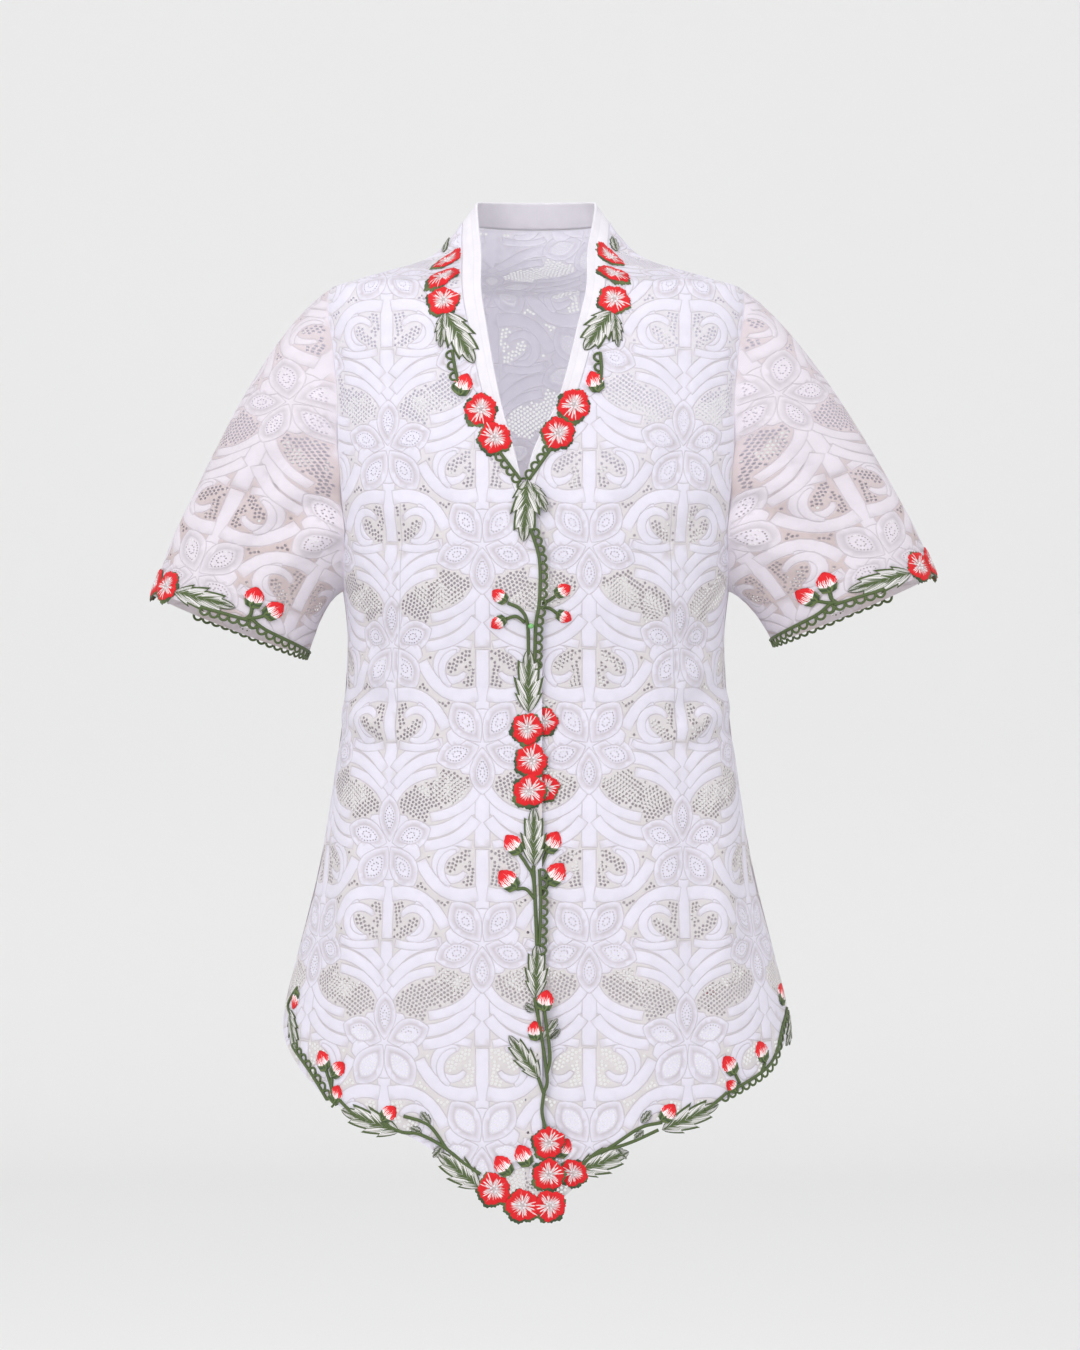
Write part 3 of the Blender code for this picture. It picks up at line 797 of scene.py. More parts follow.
def laceMaterial(name, white, netShadeTone):
    material, tree, shader = newMaterial(name, 0.82, sheen=0.15, specular=0.25)
    flat = addNode(tree, "ShaderNodeUVMap", [("uv_map", "flat")]).outputs[0]
    groove, net, seam = readMarks(tree, "lace")[1]
    threads = useGroup(tree, raisedThreads, Vector=flat, **laceLook["threads"])
    crossed = useGroup(tree, raisedThreads, Vector=flat, **laceLook["crossed"])
    mottle = useGroup(tree, clothMottle, Vector=flat, **laceLook["mottle"])
    side = tree.nodes.new("ShaderNodeNewGeometry").outputs["Backfacing"]
    place = tree.nodes.new("ShaderNodeTexCoord").outputs["Object"]
    height = addNode(tree, "ShaderNodeSeparateXYZ", _0=place).outputs[2]
    opened = rampBetween(tree, height, *laceLook["openHeights"])
    # the net's painted shade, standing in for the dark inside seen through its holes, is weaker toward the
    # shoulders, where the cloth lies over light
    strong = minus(tree, 1.0, times(tree, opened, laceLook["netFade"]))
    colour = mixColour(tree, times(tree, net, strong), white, netShadeTone)
    # painted shade in the sunk outlines between the lace shapes
    colour = mixColour(tree, times(tree, groove, laceLook["grooveShadeShare"]), colour, laceLook["groove"])
    colour = mixColour(tree, times(tree, seam, laceLook["seamShare"]), colour, laceLook["seam"])
    # the back faces are painted: painted shade low down inside, painted light toward the neck opening, and an
    # emitted glow for light coming through the cloth
    paintedInside = mixColour(tree, opened, laceLook["inside"], laceLook["litNeckInside"])
    colour = mixColour(tree, side, colour, mixColour(tree, laceLook["insideShadeShare"], colour, paintedInside))
    lit = times(tree, side, mathNode(tree, "MAXIMUM", opened, laceLook["innerGlow"]))
    glow = mixColour(tree, lit, (0.0, 0.0, 0.0, 1.0), laceLook["glow"])
    tree.links.new(glow, shader.inputs["Emission Color"])
    shader.inputs["Emission Strength"].default_value = 1.0
    # painted shade between the fine threads, times an uneven tone over the cloth
    weave = times(tree, threads.outputs["Height"], crossed.outputs["Height"])
    deep, base = laceLook["weave"]
    shade = times(tree, plus(tree, times(tree, weave, deep), base), mottle.outputs["Tone"])
    shadeEvenly(tree, shader, colour, shade)
    relief = minus(tree, weave, times(tree, groove, laceLook["grooveBump"]))
    bumpFrom(tree, shader, relief, laceLook["bump"])
    return material


bodyLace = laceMaterial("laceThread", laceLook["white"], laceLook["net"])
# a shaded copy of the lace, for the sleeves
sleeveShadedLace = laceMaterial("laceThreadSleeve", laceLook["sleeveShadedWhite"], laceLook["sleeveNetShade"])
bandLace = laceMaterial("laceThreadBand", laceLook["bandWhite"], laceLook["net"])


def frontPlan(side, cloth):
    # down the neck and the front edge, along the hem and up the side, from the same edges as the CAD
    top, tip, straight = bodyForm["frontTop"], bodyForm["shoulderTip"], bodyForm["straightFrom"]
    places = []
    for z in np.concatenate([np.linspace(top, tip, 10), np.linspace(tip, straight, 60)[1:]]):
        places.append((angleAt(seamX[side](z), z) * side, z))
    hemStart = 0.0
    for z in np.linspace(straight, -0.80, 110)[1:]:
        angle = float(angleAt(seamX[side](z), z)) * side
        if z <= float(hemZ[side](max(angle, -2.0))):
            break
        places.append((angle, z))
        hemStart = angle
    for angle in np.linspace(hemStart, 90.0, 70):
        places.append((angle, float(hemZ[side](angle))))
    return np.array([flatPlace(cloth, float(a), float(z)) for a, z in places + sideLine()])


def sideLine():
    # up the side seam and the armhole to the shoulder tip, then in along the shoulder
    low, tip = bodyForm["underarm"], bodyForm["shoulderTip"]
    places = [(90.0, z) for z in np.linspace(bodyForm["backHem"][0], low, 80)[1:]]
    for k in range(1, 80):
        z = low + (tip - low) * (0.5 - 0.5 * math.cos(math.pi * k / 79))
        places.append((90.0 - float(armholeAngle(z)), z))
    return places + [(90.0, z) for z in np.linspace(tip, bodyForm["frontTop"], 12)[1:-1]]


def backPlan(cloth):
    low, high = bodyForm["backHem"]
    side = []
    for angle in np.linspace(0.0, 90.0, 70):
        side.append((angle, low + (high - low) * float(ease(math.cos(math.radians(angle)), 0.0, 1.0))))
    side += sideLine() + [(angle, bodyForm["backTop"]) for angle in np.linspace(90.0, 0.0, 24)]
    half = np.array([flatPlace(cloth, float(a), float(z)) for a, z in side])
    return np.concatenate([half, (half * (-1.0, 1.0))[::-1][1:-1]])


dents = {
    "front": [  # two ends (x, z) in millimetres, half width, height: both fronts
        (120, -190, 60, -235, 14, -2.0), (150, -235, 95, -262, 12, -1.8),
        (152, -300, 128, -350, 12, -1.6), (158, -372, 118, -388, 9, -2.4),
        (160, -396, 122, -404, 8, 1.8), (160, -416, 112, -424, 9, -2.2),
        (150, -440, 150, -600, 16, 2.2), (128, -470, 140, -650, 15, -2.4),
        (172, -520, 186, -640, 13, -2.2), (95, -520, 100, -690, 20, 1.6),
        (60, -560, 52, -720, 18, -1.4), (110, -110, 128, -160, 12, -1.4),
    ],
    "back": [
        (130, -170, 70, -215, 16, -2.0), (-130, -180, -75, -220, 16, -2.0),
        (150, -372, 95, -388, 10, -2.4), (-150, -378, -90, -396, 10, -2.4),
        (150, -404, 85, -412, 9, 1.8), (-148, -412, -90, -420, 9, 1.6),
        (60, -430, 66, -630, 20, 2.2), (-58, -440, -70, -640, 20, 2.0),
        (110, -460, 124, -620, 17, -2.4), (-108, -460, -126, -625, 17, -2.2),
        (0, -420, 0, -650, 22, -1.8), (20, -90, -10, -300, 30, -1.2),
    ],
}
frontForm, backForm = bodyCloth(0.0), bodyCloth(180.0)
leftDents = [(x + 4, z + 8, p - 3, q - 6, w, h * 0.9) for x, z, p, q, w, h in dents["front"]]
clothOf = {
    "front_right": dentCloth(frontForm, -1, dents["front"]),
    "front_left": dentCloth(frontForm, 1, leftDents),
    "back": dentCloth(backForm, 1, dents["back"]),
}


def mmLine(cloth, places, side=1):
    # a line given by (x, z) in millimetres, as flat millimetres
    spots = [flatPlace(cloth, side * float(angleAt(x * 0.001, z * 0.001)), z * 0.001) for x, z in places]
    return [(u * 1000.0, v * 1000.0) for u, v in spots]


frontDarts = [[(112 - 0.04 * min(z + 300, 0), z) for z in range(-222, -425, -6)]]
backDarts = [[(s * 92, z) for z in range(-230, -520, -6)] for s in (1, -1)]
plans = {
    "front_right": frontPlan(-1, clothOf["front_right"]),
    "front_left": frontPlan(1, clothOf["front_left"]),
    "back": backPlan(clothOf["back"]),
}
panels = {}
for name, cloth in clothOf.items():
    seams = [mmLine(cloth, line) for line in (backDarts if name == "back" else frontDarts)]
    panels[name] = cutLace("lace_" + name, cloth, plans[name], seams)


def sleeveCloth(side):
    # a tube from the armhole to the leaning cuff: rows up from the hem, columns round from the top
    cuff, girth, step = sleeveForm[side], sleeveForm["girth"], bodyForm["clothStep"]
    lean = math.radians(cuff["lean"])
    u = np.arange(-math.pi * girth - step, math.pi * girth + 2 * step, step)
    v = np.arange(*sleeveForm["clothHeights"], step)
    turn = u / girth
    across, top = np.sin(turn)[:, None], 0.5 + 0.5 * np.cos(turn)[:, None]
    tip, low = bodyForm["shoulderTip"], bodyForm["underarm"]
    z = tip + (low - tip) * (0.5 - 0.5 * np.cos(turn))
    start = bodyPoint(90.0 - np.sign(np.sin(turn)) * armholeAngle(z), z)
    outward = np.array([math.cos(lean), 0.0, math.sin(lean)])
    forward = np.array([0.0, -sleeveForm["depth"], sleeveForm["drop"]])
    end = np.array([cuff["x"], 0.0, cuff["z"]]) + outward * cuff["reach"] * np.cos(turn)[:, None]
    end += forward * across
    arm = np.array([math.sin(lean), 0.0, -math.cos(lean)])
    out, ahead, down, downTop = sleeveForm["leave"]
    leave = np.concatenate([out + 0.0 * top, -ahead * across, -down - downTop * top], 1)
    leave /= np.linalg.norm(leave, axis=1)[:, None]
    pull, lessTop = sleeveForm["pull"]
    pull = np.linalg.norm(end - start, axis=1)[:, None] * (pull - lessTop * top)
    path = []
    for t in np.linspace(0.0, 1.0, 121):
        path.append(start * ((1 + 2 * t) * (1 - t) ** 2) + leave * pull * (t * (1 - t) ** 2)
                    + end * (t * t * (3 - 2 * t)) + arm * pull * (t * t * (t - 1)))
    path = np.array(path)
    reach = np.stack([lengthAlong(path[:, j]) for j in range(len(u))], 1)
    points = np.zeros((len(v), len(u), 3))
    for j, length in enumerate(reach[-1]):
        at = length - v
        for axis in range(3):
            points[:, j, axis] = np.interp(at, reach[:, j], path[:, j, axis])
        points[:, j] += np.maximum(at - length, 0.0)[:, None] * arm
        points[:, j] -= np.maximum(-at, 0.0)[:, None] * leave[j]
    return {"points": points, "u": u[0], "v": v[0], "step": step, "length": reach[-1], "turns": turn}


def dentSleeve(cloth, side, folds):
    points = cloth["points"].copy()
    points[..., 0] *= side
    middle = points.mean(axis=1, keepdims=True)
    normals = facing(points, points - middle)
    u = (cloth["u"] + cloth["step"] * np.arange(points.shape[1])) * 1000.0
    v = (cloth["v"] + cloth["step"] * np.arange(points.shape[0])) * 1000.0
    where = np.stack(np.meshgrid(u, v), -1)
    push = dentPush(where, folds, sleeveForm["dentStrength"], sleeveForm["dentFade"])
    points += normals * push[..., None]
    return dict(cloth, points=points, normals=facing(points, points - middle))


sleeveFolds = [  # ends (round, up from the hem) in millimetres, half width, height
    (60, 60, 96, 185, 10, -3.0), (88, 40, 128, 150, 9, -2.6), (112, 30, 140, 120, 9, 2.0),
    (36, 120, 60, 230, 12, -2.0), (-70, 60, -100, 180, 11, -2.8), (-110, 40, -138, 140, 10, -2.4),
    (20, 30, 34, 110, 12, 1.4), (-30, 40, -44, 150, 13, -1.8),
]
for side, name in ((-1, "sleeve_right"), (1, "sleeve_left")):
    folds = [(u + 3 * side, v, p, q - 5 * side, w, h) for u, v, p, q, w, h in sleeveFolds]
    cloth = dentSleeve(sleeveCloth(side), side, folds)
    girth = sleeveForm["girth"]
    edge = np.linspace(-math.pi * girth, math.pi * girth, 96)
    inner = np.interp(edge, cloth["turns"] * girth, cloth["length"])
    up = np.linspace(0.0, inner[0], 30)[1:-1]
    plan = np.concatenate([np.stack([edge, 0.0 * edge], 1), np.stack([up * 0.0 + edge[-1], up], 1),
                           np.stack([edge, inner], 1)[::-1], np.stack([up * 0.0 + edge[0], up], 1)[::-1]])
    clothOf[name], plans[name] = cloth, plan
    panels[name] = cutLace("lace_" + name, cloth, plan, shift=sleeveForm["laceShift"])
print("lace panels laid")


# Each motif is worked flat in millimetres and then laid on the cloth.
embroidery = {
    "lift": 0.5,                   # above the cloth
    "stemWidth": 2.9,
    "chainPitch": 7.2,
    "chainHeight": 5.6,
    "loopThread": 2.1,
    "red": (0.76, 0.012, 0.018, 1.0),
    # painted shade: this darker red colours the low places between the red threads
    "redShade": (0.50, 0.010, 0.016, 1.0),
    "white": (0.92, 0.88, 0.90, 1.0),
    "green": (0.130, 0.175, 0.052, 1.0),
    # painted shade: this darker green colours the low places between the green threads
    "greenShade": (0.030, 0.058, 0.022, 1.0),
    "knotShade": (0.74, 0.66, 0.69, 1.0),
    "sunk": -0.4,                  # the lowest edge of a motif
    "tall": 0.96,                  # a flower's height over its width
    "stacked": (0.3, 0.12),        # height of the first flower of three, and the step to the next
    "rimShift": (0.06, 0.09),      # shares of the radius, to the middle and down
    "budFrom": 0.18,               # shares of a bud's length
    "budSize": (0.95, 0.45),
    "sepals": ((0.75, 0.62), (-0.75, 0.62), (0.0, 0.42)),   # lean and reach
    "sepalFrom": 0.04,
    "sepalWidth": 0.17,
}
# How threads lie, how far white and colour fray into each other, what shows between stitches, and how much
# painted shade darkens the low places between threads.
flowerLook = {
    "flower": {"whiteTo": 0.50, "streaks": (46.0, 0.6),
               "threads": {"Density": 520.0, "Slant": 0.0, "Stray": 0.1}},
    "bud": {"whiteTo": 0.34, "streaks": (1.5, 9.0),
            "threads": {"Density": 26.0, "Slant": 0.6, "Stray": 0.1}},
    "fray": 2.2, "soft": 0.07, "gapStreaks": (58.0, 0.9), "gaps": (0.53, 0.60), "gapShare": 0.8,
    "lowShadeShare": 0.42, "bump": 0.00022,
}
leafLook = {
    "threads": {"Density": 150.0, "Slant": -0.42, "Stray": 0.12},
    "streaks": (22.0, 0.8), "fray": 2.2, "white": (0.20, 0.42), "rim": (0.76, 0.83),
    "gapStreaks": (44.0, 0.5), "gaps": (0.50, 0.58), "gapShare": 0.7, "lowShadeShare": 0.25, "bump": 0.0002,
}
cordLook = {"threads": {"Slant": 0.35, "Stray": 0.08}, "streaks": (0.5, 0.5), "lighter": 0.45, "bump": 0.00015}


def streaks(tree, vector, along, across):
    # uneven ends of long stitches: fine across the threads, slow along them
    stretched = addNode(tree, "ShaderNodeVectorMath", [("operation", "MULTIPLY")],
                        _0=vector, _1=(along, across, 1.0))
    return addNode(tree, "ShaderNodeTexNoise", Vector=stretched.outputs[0], Scale=1.0, Detail=2.0).outputs[0]


def fray(tree, place, ragged, amount):
    # shifts a place to and fro, so that the stitches end unevenly
    return plus(tree, place, times(tree, minus(tree, ragged, 0.5), amount))


def finishThread(tree, shader, colour, height, distance):
    tree.links.new(colour, shader.inputs["Base Color"])
    bumpFrom(tree, shader, height, distance)


def flowerMaterial(kind):
    # red satin stitches round white ones, x round the flower or along the bud, y outwards
    material, tree, shader = newMaterial(kind + "Thread", 0.52, sheen=0.05, specular=0.25)
    vector, (x, y, _) = readMarks(tree, "stitch")
    look = flowerLook[kind]
    isRound = kind == "flower"
    run = vector if isRound else addNode(tree, "ShaderNodeCombineXYZ", _0=y, _1=x).outputs[0]
    height = useGroup(tree, raisedThreads, Vector=run, **look["threads"]).outputs["Height"]
    edge = fray(tree, y if isRound else x, streaks(tree, vector, *look["streaks"]), flowerLook["fray"])
    red = rampBetween(tree, edge, look["whiteTo"] - flowerLook["soft"], look["whiteTo"] + flowerLook["soft"])
    if isRound:  # red shows between the white stitches
        gaps = rampBetween(tree, streaks(tree, vector, *flowerLook["gapStreaks"]), *flowerLook["gaps"])
        red = mathNode(tree, "MAXIMUM", red, times(tree, gaps, flowerLook["gapShare"]))
    colour = mixColour(tree, red, embroidery["white"], embroidery["red"])
    # painted shade in the low places between the red threads
    low = times(tree, times(tree, minus(tree, 1.0, height), red), flowerLook["lowShadeShare"])
    colour = mixColour(tree, low, colour, embroidery["redShade"])
    finishThread(tree, shader, colour, height, flowerLook["bump"])
    return material


def leafMaterial():
    # a green rib, slanting stitches that fade to white and a dark green edge
    material, tree, shader = newMaterial("leafThread", 0.52, sheen=0.06, specular=0.3)
    x, y, _ = readMarks(tree, "stitch")[1]
    away = mathNode(tree, "ABSOLUTE", y)
    folded = addNode(tree, "ShaderNodeCombineXYZ", _0=x, _1=away).outputs[0]
    height = useGroup(tree, raisedThreads, Vector=folded, **leafLook["threads"]).outputs["Height"]
    slanted = plus(tree, x, times(tree, away, leafLook["threads"]["Slant"]))
    key = addNode(tree, "ShaderNodeCombineXYZ", _0=slanted, _1=y).outputs[0]
    reach = fray(tree, away, streaks(tree, key, *leafLook["streaks"]), leafLook["fray"])
    # green shows between the white stitches
    gaps = rampBetween(tree, streaks(tree, key, *leafLook["gapStreaks"]), *leafLook["gaps"])
    white = times(tree, rampBetween(tree, reach, *leafLook["white"]),
                  minus(tree, 1.0, times(tree, gaps, leafLook["gapShare"])))
    # painted shade: the green darkens where the threads lie low
    green = mixColour(tree, height, embroidery["greenShade"], embroidery["green"])
    colour = mixColour(tree, white, green, embroidery["white"])
    colour = mixColour(tree, rampBetween(tree, away, *leafLook["rim"]), colour, green)
    # more painted shade in the low places between threads
    low = times(tree, minus(tree, 1.0, height), leafLook["lowShadeShare"])
    colour = mixColour(tree, low, colour, embroidery["greenShade"])
    finishThread(tree, shader, colour, height, leafLook["bump"])
    return material


def cordMaterial(name, light, dark, density):
    # satin stitches over a cord: x counts millimetres along it, y turns round it
    material, tree, shader = newMaterial(name, 0.48, sheen=0.06, specular=0.35)
    vector = readMarks(tree, "stitch")[0]
    threads = useGroup(tree, raisedThreads, Vector=vector, Density=density, **cordLook["threads"])
    height = threads.outputs["Height"]
    mottle = plus(tree, streaks(tree, vector, *cordLook["streaks"]), cordLook["lighter"])
    # painted shade: the dark colour fills the low places between threads, with an uneven tone along the cord
    colour = mixColour(tree, mathNode(tree, "MULTIPLY", height, mottle, True), dark, light)
    finishThread(tree, shader, colour, height, cordLook["bump"])
    return material


threadOf = {
    "flower": flowerMaterial("flower"),
    "bud": flowerMaterial("bud"),
    "leaf": leafMaterial(),
    "stem": cordMaterial("stemThread", embroidery["green"], embroidery["greenShade"], 8.0),
    "knot": cordMaterial("knotThread", embroidery["white"], embroidery["knotShade"], 6.0),
}


def motifObject(name, verts, faces, stitch):
    mesh = newMesh(name, verts, faces)
    markPoints(mesh, "stitch", stitch)
    return bpy.data.objects.new(name, mesh)


def flowerMotif(name, seed, reach=1.0, dome=1.0):
    # a round flower of radius one with lobes and a ragged stitched edge
    shift = np.random.default_rng(seed).uniform(0.0, 6.28, 3)
    rings = ((0.0, 0.35), (0.14, 0.45), (0.3, 0.6), (0.46, 0.8), (0.62, 1.0), (0.78, 1.0), (0.9, 0.8),
             (1.0, 0.4), (1.02, -0.45))  # distance from the middle, height
    around = 56
    verts, stitch = [], []
    for r, h in rings:
        for k in range(around):
            a = 2 * math.pi * k / around
            lobe = 1.0 + 0.060 * math.cos(5 * a + shift[0]) + 0.035 * math.cos(3 * a + shift[1])
            lobe += 0.030 * math.cos(28 * a) + 0.040 * math.cos(11 * a + shift[2])
            size = r * reach * (1.0 + (lobe - 1.0) * min(1.0, r * 1.3))
            verts.append((size * math.cos(a), size * math.sin(a), h * dome))
            stitch.append((k / around if k < around / 2 else 1.0 - k / around, r, 0.0))
    return motifObject(name, verts, gridFaces(len(rings), around), stitch)


def leafMotif(name, teeth, dome=0.8):
    # a leaf one long and one wide each side of its rib, tip at x = 1
    along, across = 5 * teeth + 2, (-1.0, -0.99, -0.86, -0.5, -0.16, 0.0, 0.16, 0.5, 0.86, 0.99, 1.0)
    verts, stitch = [], []
    for i in range(along + 1):
        t = i / along
        bite = (t * teeth) % 1.0 if teeth else 0.0
        notch = 0.68 + 0.42 * bite * (1.0 if t < 0.97 else 0.0) if teeth else 1.0
        half = math.sin(math.pi * min(t, 0.999) ** 0.74) ** 0.85 * notch
        for s in across:
            high = embroidery["sunk"] if abs(s) == 1.0 else dome * (0.45 + 0.55 * (1.0 - abs(s)))
            forward = 0.16 * bite * abs(s) ** 2 * math.sin(math.pi * t)
            verts.append((t + forward, s * half, high))
            stitch.append((t, s, 0.0))
    return motifObject(name, verts, gridFaces(along + 1, len(across), False), stitch)


def budMotif(name):
    # a drop one long and one wide each side
    along, across = 10, (-1.0, -0.96, -0.7, -0.35, 0.0, 0.35, 0.7, 0.96, 1.0)
    verts, stitch = [], []
    for i in range(along + 1):
        t = i / along
        half = math.sin(math.pi * (0.12 + 0.86 * t) ** 0.9) ** 0.75 * (1.0 + 0.05 * (-1) ** i)
        dome = math.sin(math.pi * (0.15 + 0.7 * t))
        for s in across:
            high = embroidery["sunk"] if abs(s) == 1.0 else 1.1 * math.sqrt(max(0.0, 1.0 - s * s)) * dome
            verts.append((t, s * half, high))
            stitch.append((t, s, 0.0))
    return motifObject(name, verts, gridFaces(along + 1, len(across), False), stitch)


def loopMotif(name, side):
    # one scallop: a bow of thread from one place of the chain to the next
    pitch, height = embroidery["chainPitch"], embroidery["chainHeight"] * side
    radius, along, around = embroidery["loopThread"] / 2, 10, 6
    verts, stitch = [], []
    for i in range(along + 1):
        a = math.pi * i / along
        middle = np.array([pitch / 2 * (1 - math.cos(a)), height * math.sin(a) ** 0.8, 0.0])
        run = np.array([math.sin(a) + 1e-6, side * math.cos(a), 0.0])
        run /= np.linalg.norm(run)
        aside = np.array([-run[1], run[0], 0.0])
        for k in range(around):
            b = 2 * math.pi * k / around
            verts.append(tuple(middle + aside * radius * math.cos(b) + np.array([0, 0, radius * math.sin(b)])))
            stitch.append((i * 1.1, k / around, 0.0))
    return motifObject(name, verts, gridFaces(along + 1, around), stitch)


def knotMotif(name):
    # five French knots round the middle of a flower
    verts, stitch, faces = [], [], []
    for k in range(5):
        a = 2 * math.pi * (k + 0.2) / 5
        x, y = 0.2 * math.cos(a), 0.2 * math.sin(a)
        first = len(verts)
        for i, (r, h) in enumerate(((0.085, 0.5), (0.08, 0.95), (0.045, 1.2))):
            for n in range(8):
                b = 2 * math.pi * n / 8
                verts.append((x + r * math.cos(b), y + r * math.sin(b), h))
                stitch.append((n * 0.4, i * 0.5, 0.0))
        faces += gridFaces(3, 8, True, first, True)
        faces.append(tuple(range(first + 16, first + 24)))
    return motifObject(name, verts, faces, stitch)


def newTree(name, inputs):
    inputs = [("Geometry", "Geometry")] + inputs + [("Thread", "Material")]
    tree, given, result = newGroup(name, inputs, [("Geometry", "Geometry")], "GeometryNodeTree")
    tree.is_modifier = True
    return tree, given, result


def endTree(tree, given, result, geometry):
    realized = addNode(tree, "GeometryNodeRealizeInstances", Geometry=geometry)
    coloured = addNode(tree, "GeometryNodeSetMaterial", Geometry=realized.outputs[0],
                       Material=given.outputs["Thread"])
    tree.links.new(coloured.outputs[0], result.inputs[0])


def instancesOn(tree, points, motif, angle, **values):
    # a motif on every point, turned by an angle
    euler = addNode(tree, "ShaderNodeCombineXYZ", Z=angle)
    turned = addNode(tree, "FunctionNodeEulerToRotation", _0=euler.outputs[0])
    info = addNode(tree, "GeometryNodeObjectInfo", Object=motif)
    return addNode(tree, "GeometryNodeInstanceOnPoints", Points=points, Instance=info.outputs["Geometry"],
                   Rotation=turned.outputs[0], **values).outputs[0]


def evenPath(tree, given, spacing):
    # places at an even spacing along every line of a curve
    info = addNode(tree, "GeometryNodeObjectInfo", Object=given.outputs["Path"])
    return addNode(tree, "GeometryNodeResampleCurve", [("mode", "LENGTH")],
                   Curve=info.outputs["Geometry"], Length=given.outputs[spacing]).outputs[0]


def motifTree():
    # sets a motif on every point, turned and stretched as the point says
    tree, given, result = newTree("setMotifs", [("Motif", "Object")])
    spin = addNode(tree, "GeometryNodeInputNamedAttribute", [("data_type", "FLOAT")], Name="spin")
    stretch = addNode(tree, "GeometryNodeInputNamedAttribute", [("data_type", "FLOAT_VECTOR")], Name="stretch")
    placed = instancesOn(tree, given.outputs["Geometry"], given.outputs["Motif"], spin.outputs[0],
                         Scale=stretch.outputs[0])
    endTree(tree, given, result, placed)
    return tree


def stemTree():
    # a satin cord along every line of a curve
    tree, given, result = newTree("satinStems", [
        ("Path", "Object"), ("Width", "Float", 2.0), ("Step", "Float", 1.6)])
    reach = addNode(tree, "GeometryNodeSplineParameter")
    vector = addNode(tree, "ShaderNodeCombineXYZ", X=reach.outputs["Length"])
    marked = addNode(tree, "GeometryNodeStoreNamedAttribute", [("data_type", "FLOAT_VECTOR")],
                     Geometry=evenPath(tree, given, "Step"), Name="stitch", Value=vector.outputs[0])
    half = times(tree, given.outputs["Width"], 0.5)
    profile = addNode(tree, "GeometryNodeCurvePrimitiveCircle", Resolution=8, Radius=half)
    swept = addNode(tree, "GeometryNodeCurveToMesh", Curve=marked.outputs[0], _1=profile.outputs[0])
    for socket in swept.inputs:
        if socket.name == "Fill Caps":
            socket.default_value = True
    endTree(tree, given, result, swept.outputs[0])
    return tree


def chainTree():
    # scallop loops at an even pitch along every line of a curve
    tree, given, result = newTree("scallopChain", [
        ("Path", "Object"), ("Loop", "Object"), ("Pitch", "Float", 7.0)])
    run = addNode(tree, "GeometryNodeInputTangent")
    split = addNode(tree, "ShaderNodeSeparateXYZ", _0=run.outputs[0])
    angle = mathNode(tree, "ARCTAN2", split.outputs[1], split.outputs[0])
    placed = instancesOn(tree, evenPath(tree, given, "Pitch"), given.outputs["Loop"], angle)
    endTree(tree, given, result, placed)
    return tree


trees = {"motifs": motifTree(), "stems": stemTree(), "chain": chainTree()}


def growMesh(source, tree, **values):
    # runs one tree on an object and keeps only the finished mesh
    bpy.context.scene.collection.objects.link(source)
    helpers = [value for value in values.values() if isinstance(value, bpy.types.Object)]
    for helper in helpers:
        if helper.name not in bpy.context.scene.collection.objects:
            bpy.context.scene.collection.objects.link(helper)
    modifier = source.modifiers.new(tree.name, "NODES")
    modifier.node_group = tree
    for item in tree.interface.items_tree:
        if item.item_type == "SOCKET" and item.in_out == "INPUT" and item.name in values:
            modifier[item.identifier] = values[item.name]
    deps = bpy.context.evaluated_depsgraph_get()
    mesh = bpy.data.meshes.new_from_object(source.evaluated_get(deps), depsgraph=deps)
    source.modifiers.remove(modifier)
    for helper in helpers + [source]:
        bpy.context.scene.collection.objects.unlink(helper)
    return mesh


def placeMotifs(key, thread, spots):
    # spots are (u, v, height, spin, length, width) in flat millimetres
    mesh = newMesh("spots", [spot[:3] for spot in spots], [])
    spin = mesh.attributes.new("spin", "FLOAT", "POINT")
    spin.data.foreach_set("value", [spot[3] for spot in spots])
    markPoints(mesh, "stretch", [(spot[4], spot[5], 1.0) for spot in spots])
    host = bpy.data.objects.new("spots", mesh)
    return growMesh(host, trees["motifs"], Motif=motifs[key], Thread=threadOf[thread])


def growPath(key, lines, **values):
    host = bpy.data.objects.new("host", bpy.data.meshes.new("host"))
    return growMesh(host, trees[key], Path=pathObject(lines), Thread=threadOf["stem"], **values)


def pathObject(lines):
    curve = bpy.data.curves.new("path", "CURVE")
    curve.dimensions = "3D"
    for line in lines:
        spline = curve.splines.new("POLY")
        smooth = roundLine(line)
        spline.points.add(len(smooth) - 1)
        for point, (x, y) in zip(spline.points, smooth):
            point.co = (x, y, 0.0, 1.0)
    return bpy.data.objects.new("path", curve)


def roundLine(line):
    # a smooth line through its places, closely spaced
    line = np.array(line, float)
    if len(line) < 3:
        return [tuple(line[0] + (line[-1] - line[0]) * t) for t in np.linspace(0, 1, 8)]
    ends = np.concatenate([[2 * line[0] - line[1]], line, [2 * line[-1] - line[-2]]])
    found = []
    for a, b, c, d in zip(ends, ends[1:], ends[2:], ends[3:]):
        for t in np.linspace(0, 1, 8)[:-1]:
            found.append(tuple(0.5 * ((2 * b) + (c - a) * t + (2 * a - 5 * b + 4 * c - d) * t * t
                                      + (3 * b - a - 3 * c + d) * t ** 3)))
    return found + [tuple(line[-1])]


motifs = {
    "flower": flowerMotif("flower", 3), "flowerTwo": flowerMotif("flowerTwo", 8),
    "rim": flowerMotif("rim", 3, 1.09, 0.35), "knots": knotMotif("knots"),
    "leaf": leafMotif("leaf", 4), "sepal": leafMotif("sepal", 0, 1.0), "bud": budMotif("bud"),
    "outerLoop": loopMotif("outerLoop", 1.0), "innerLoop": loopMotif("innerLoop", -1.0),
}


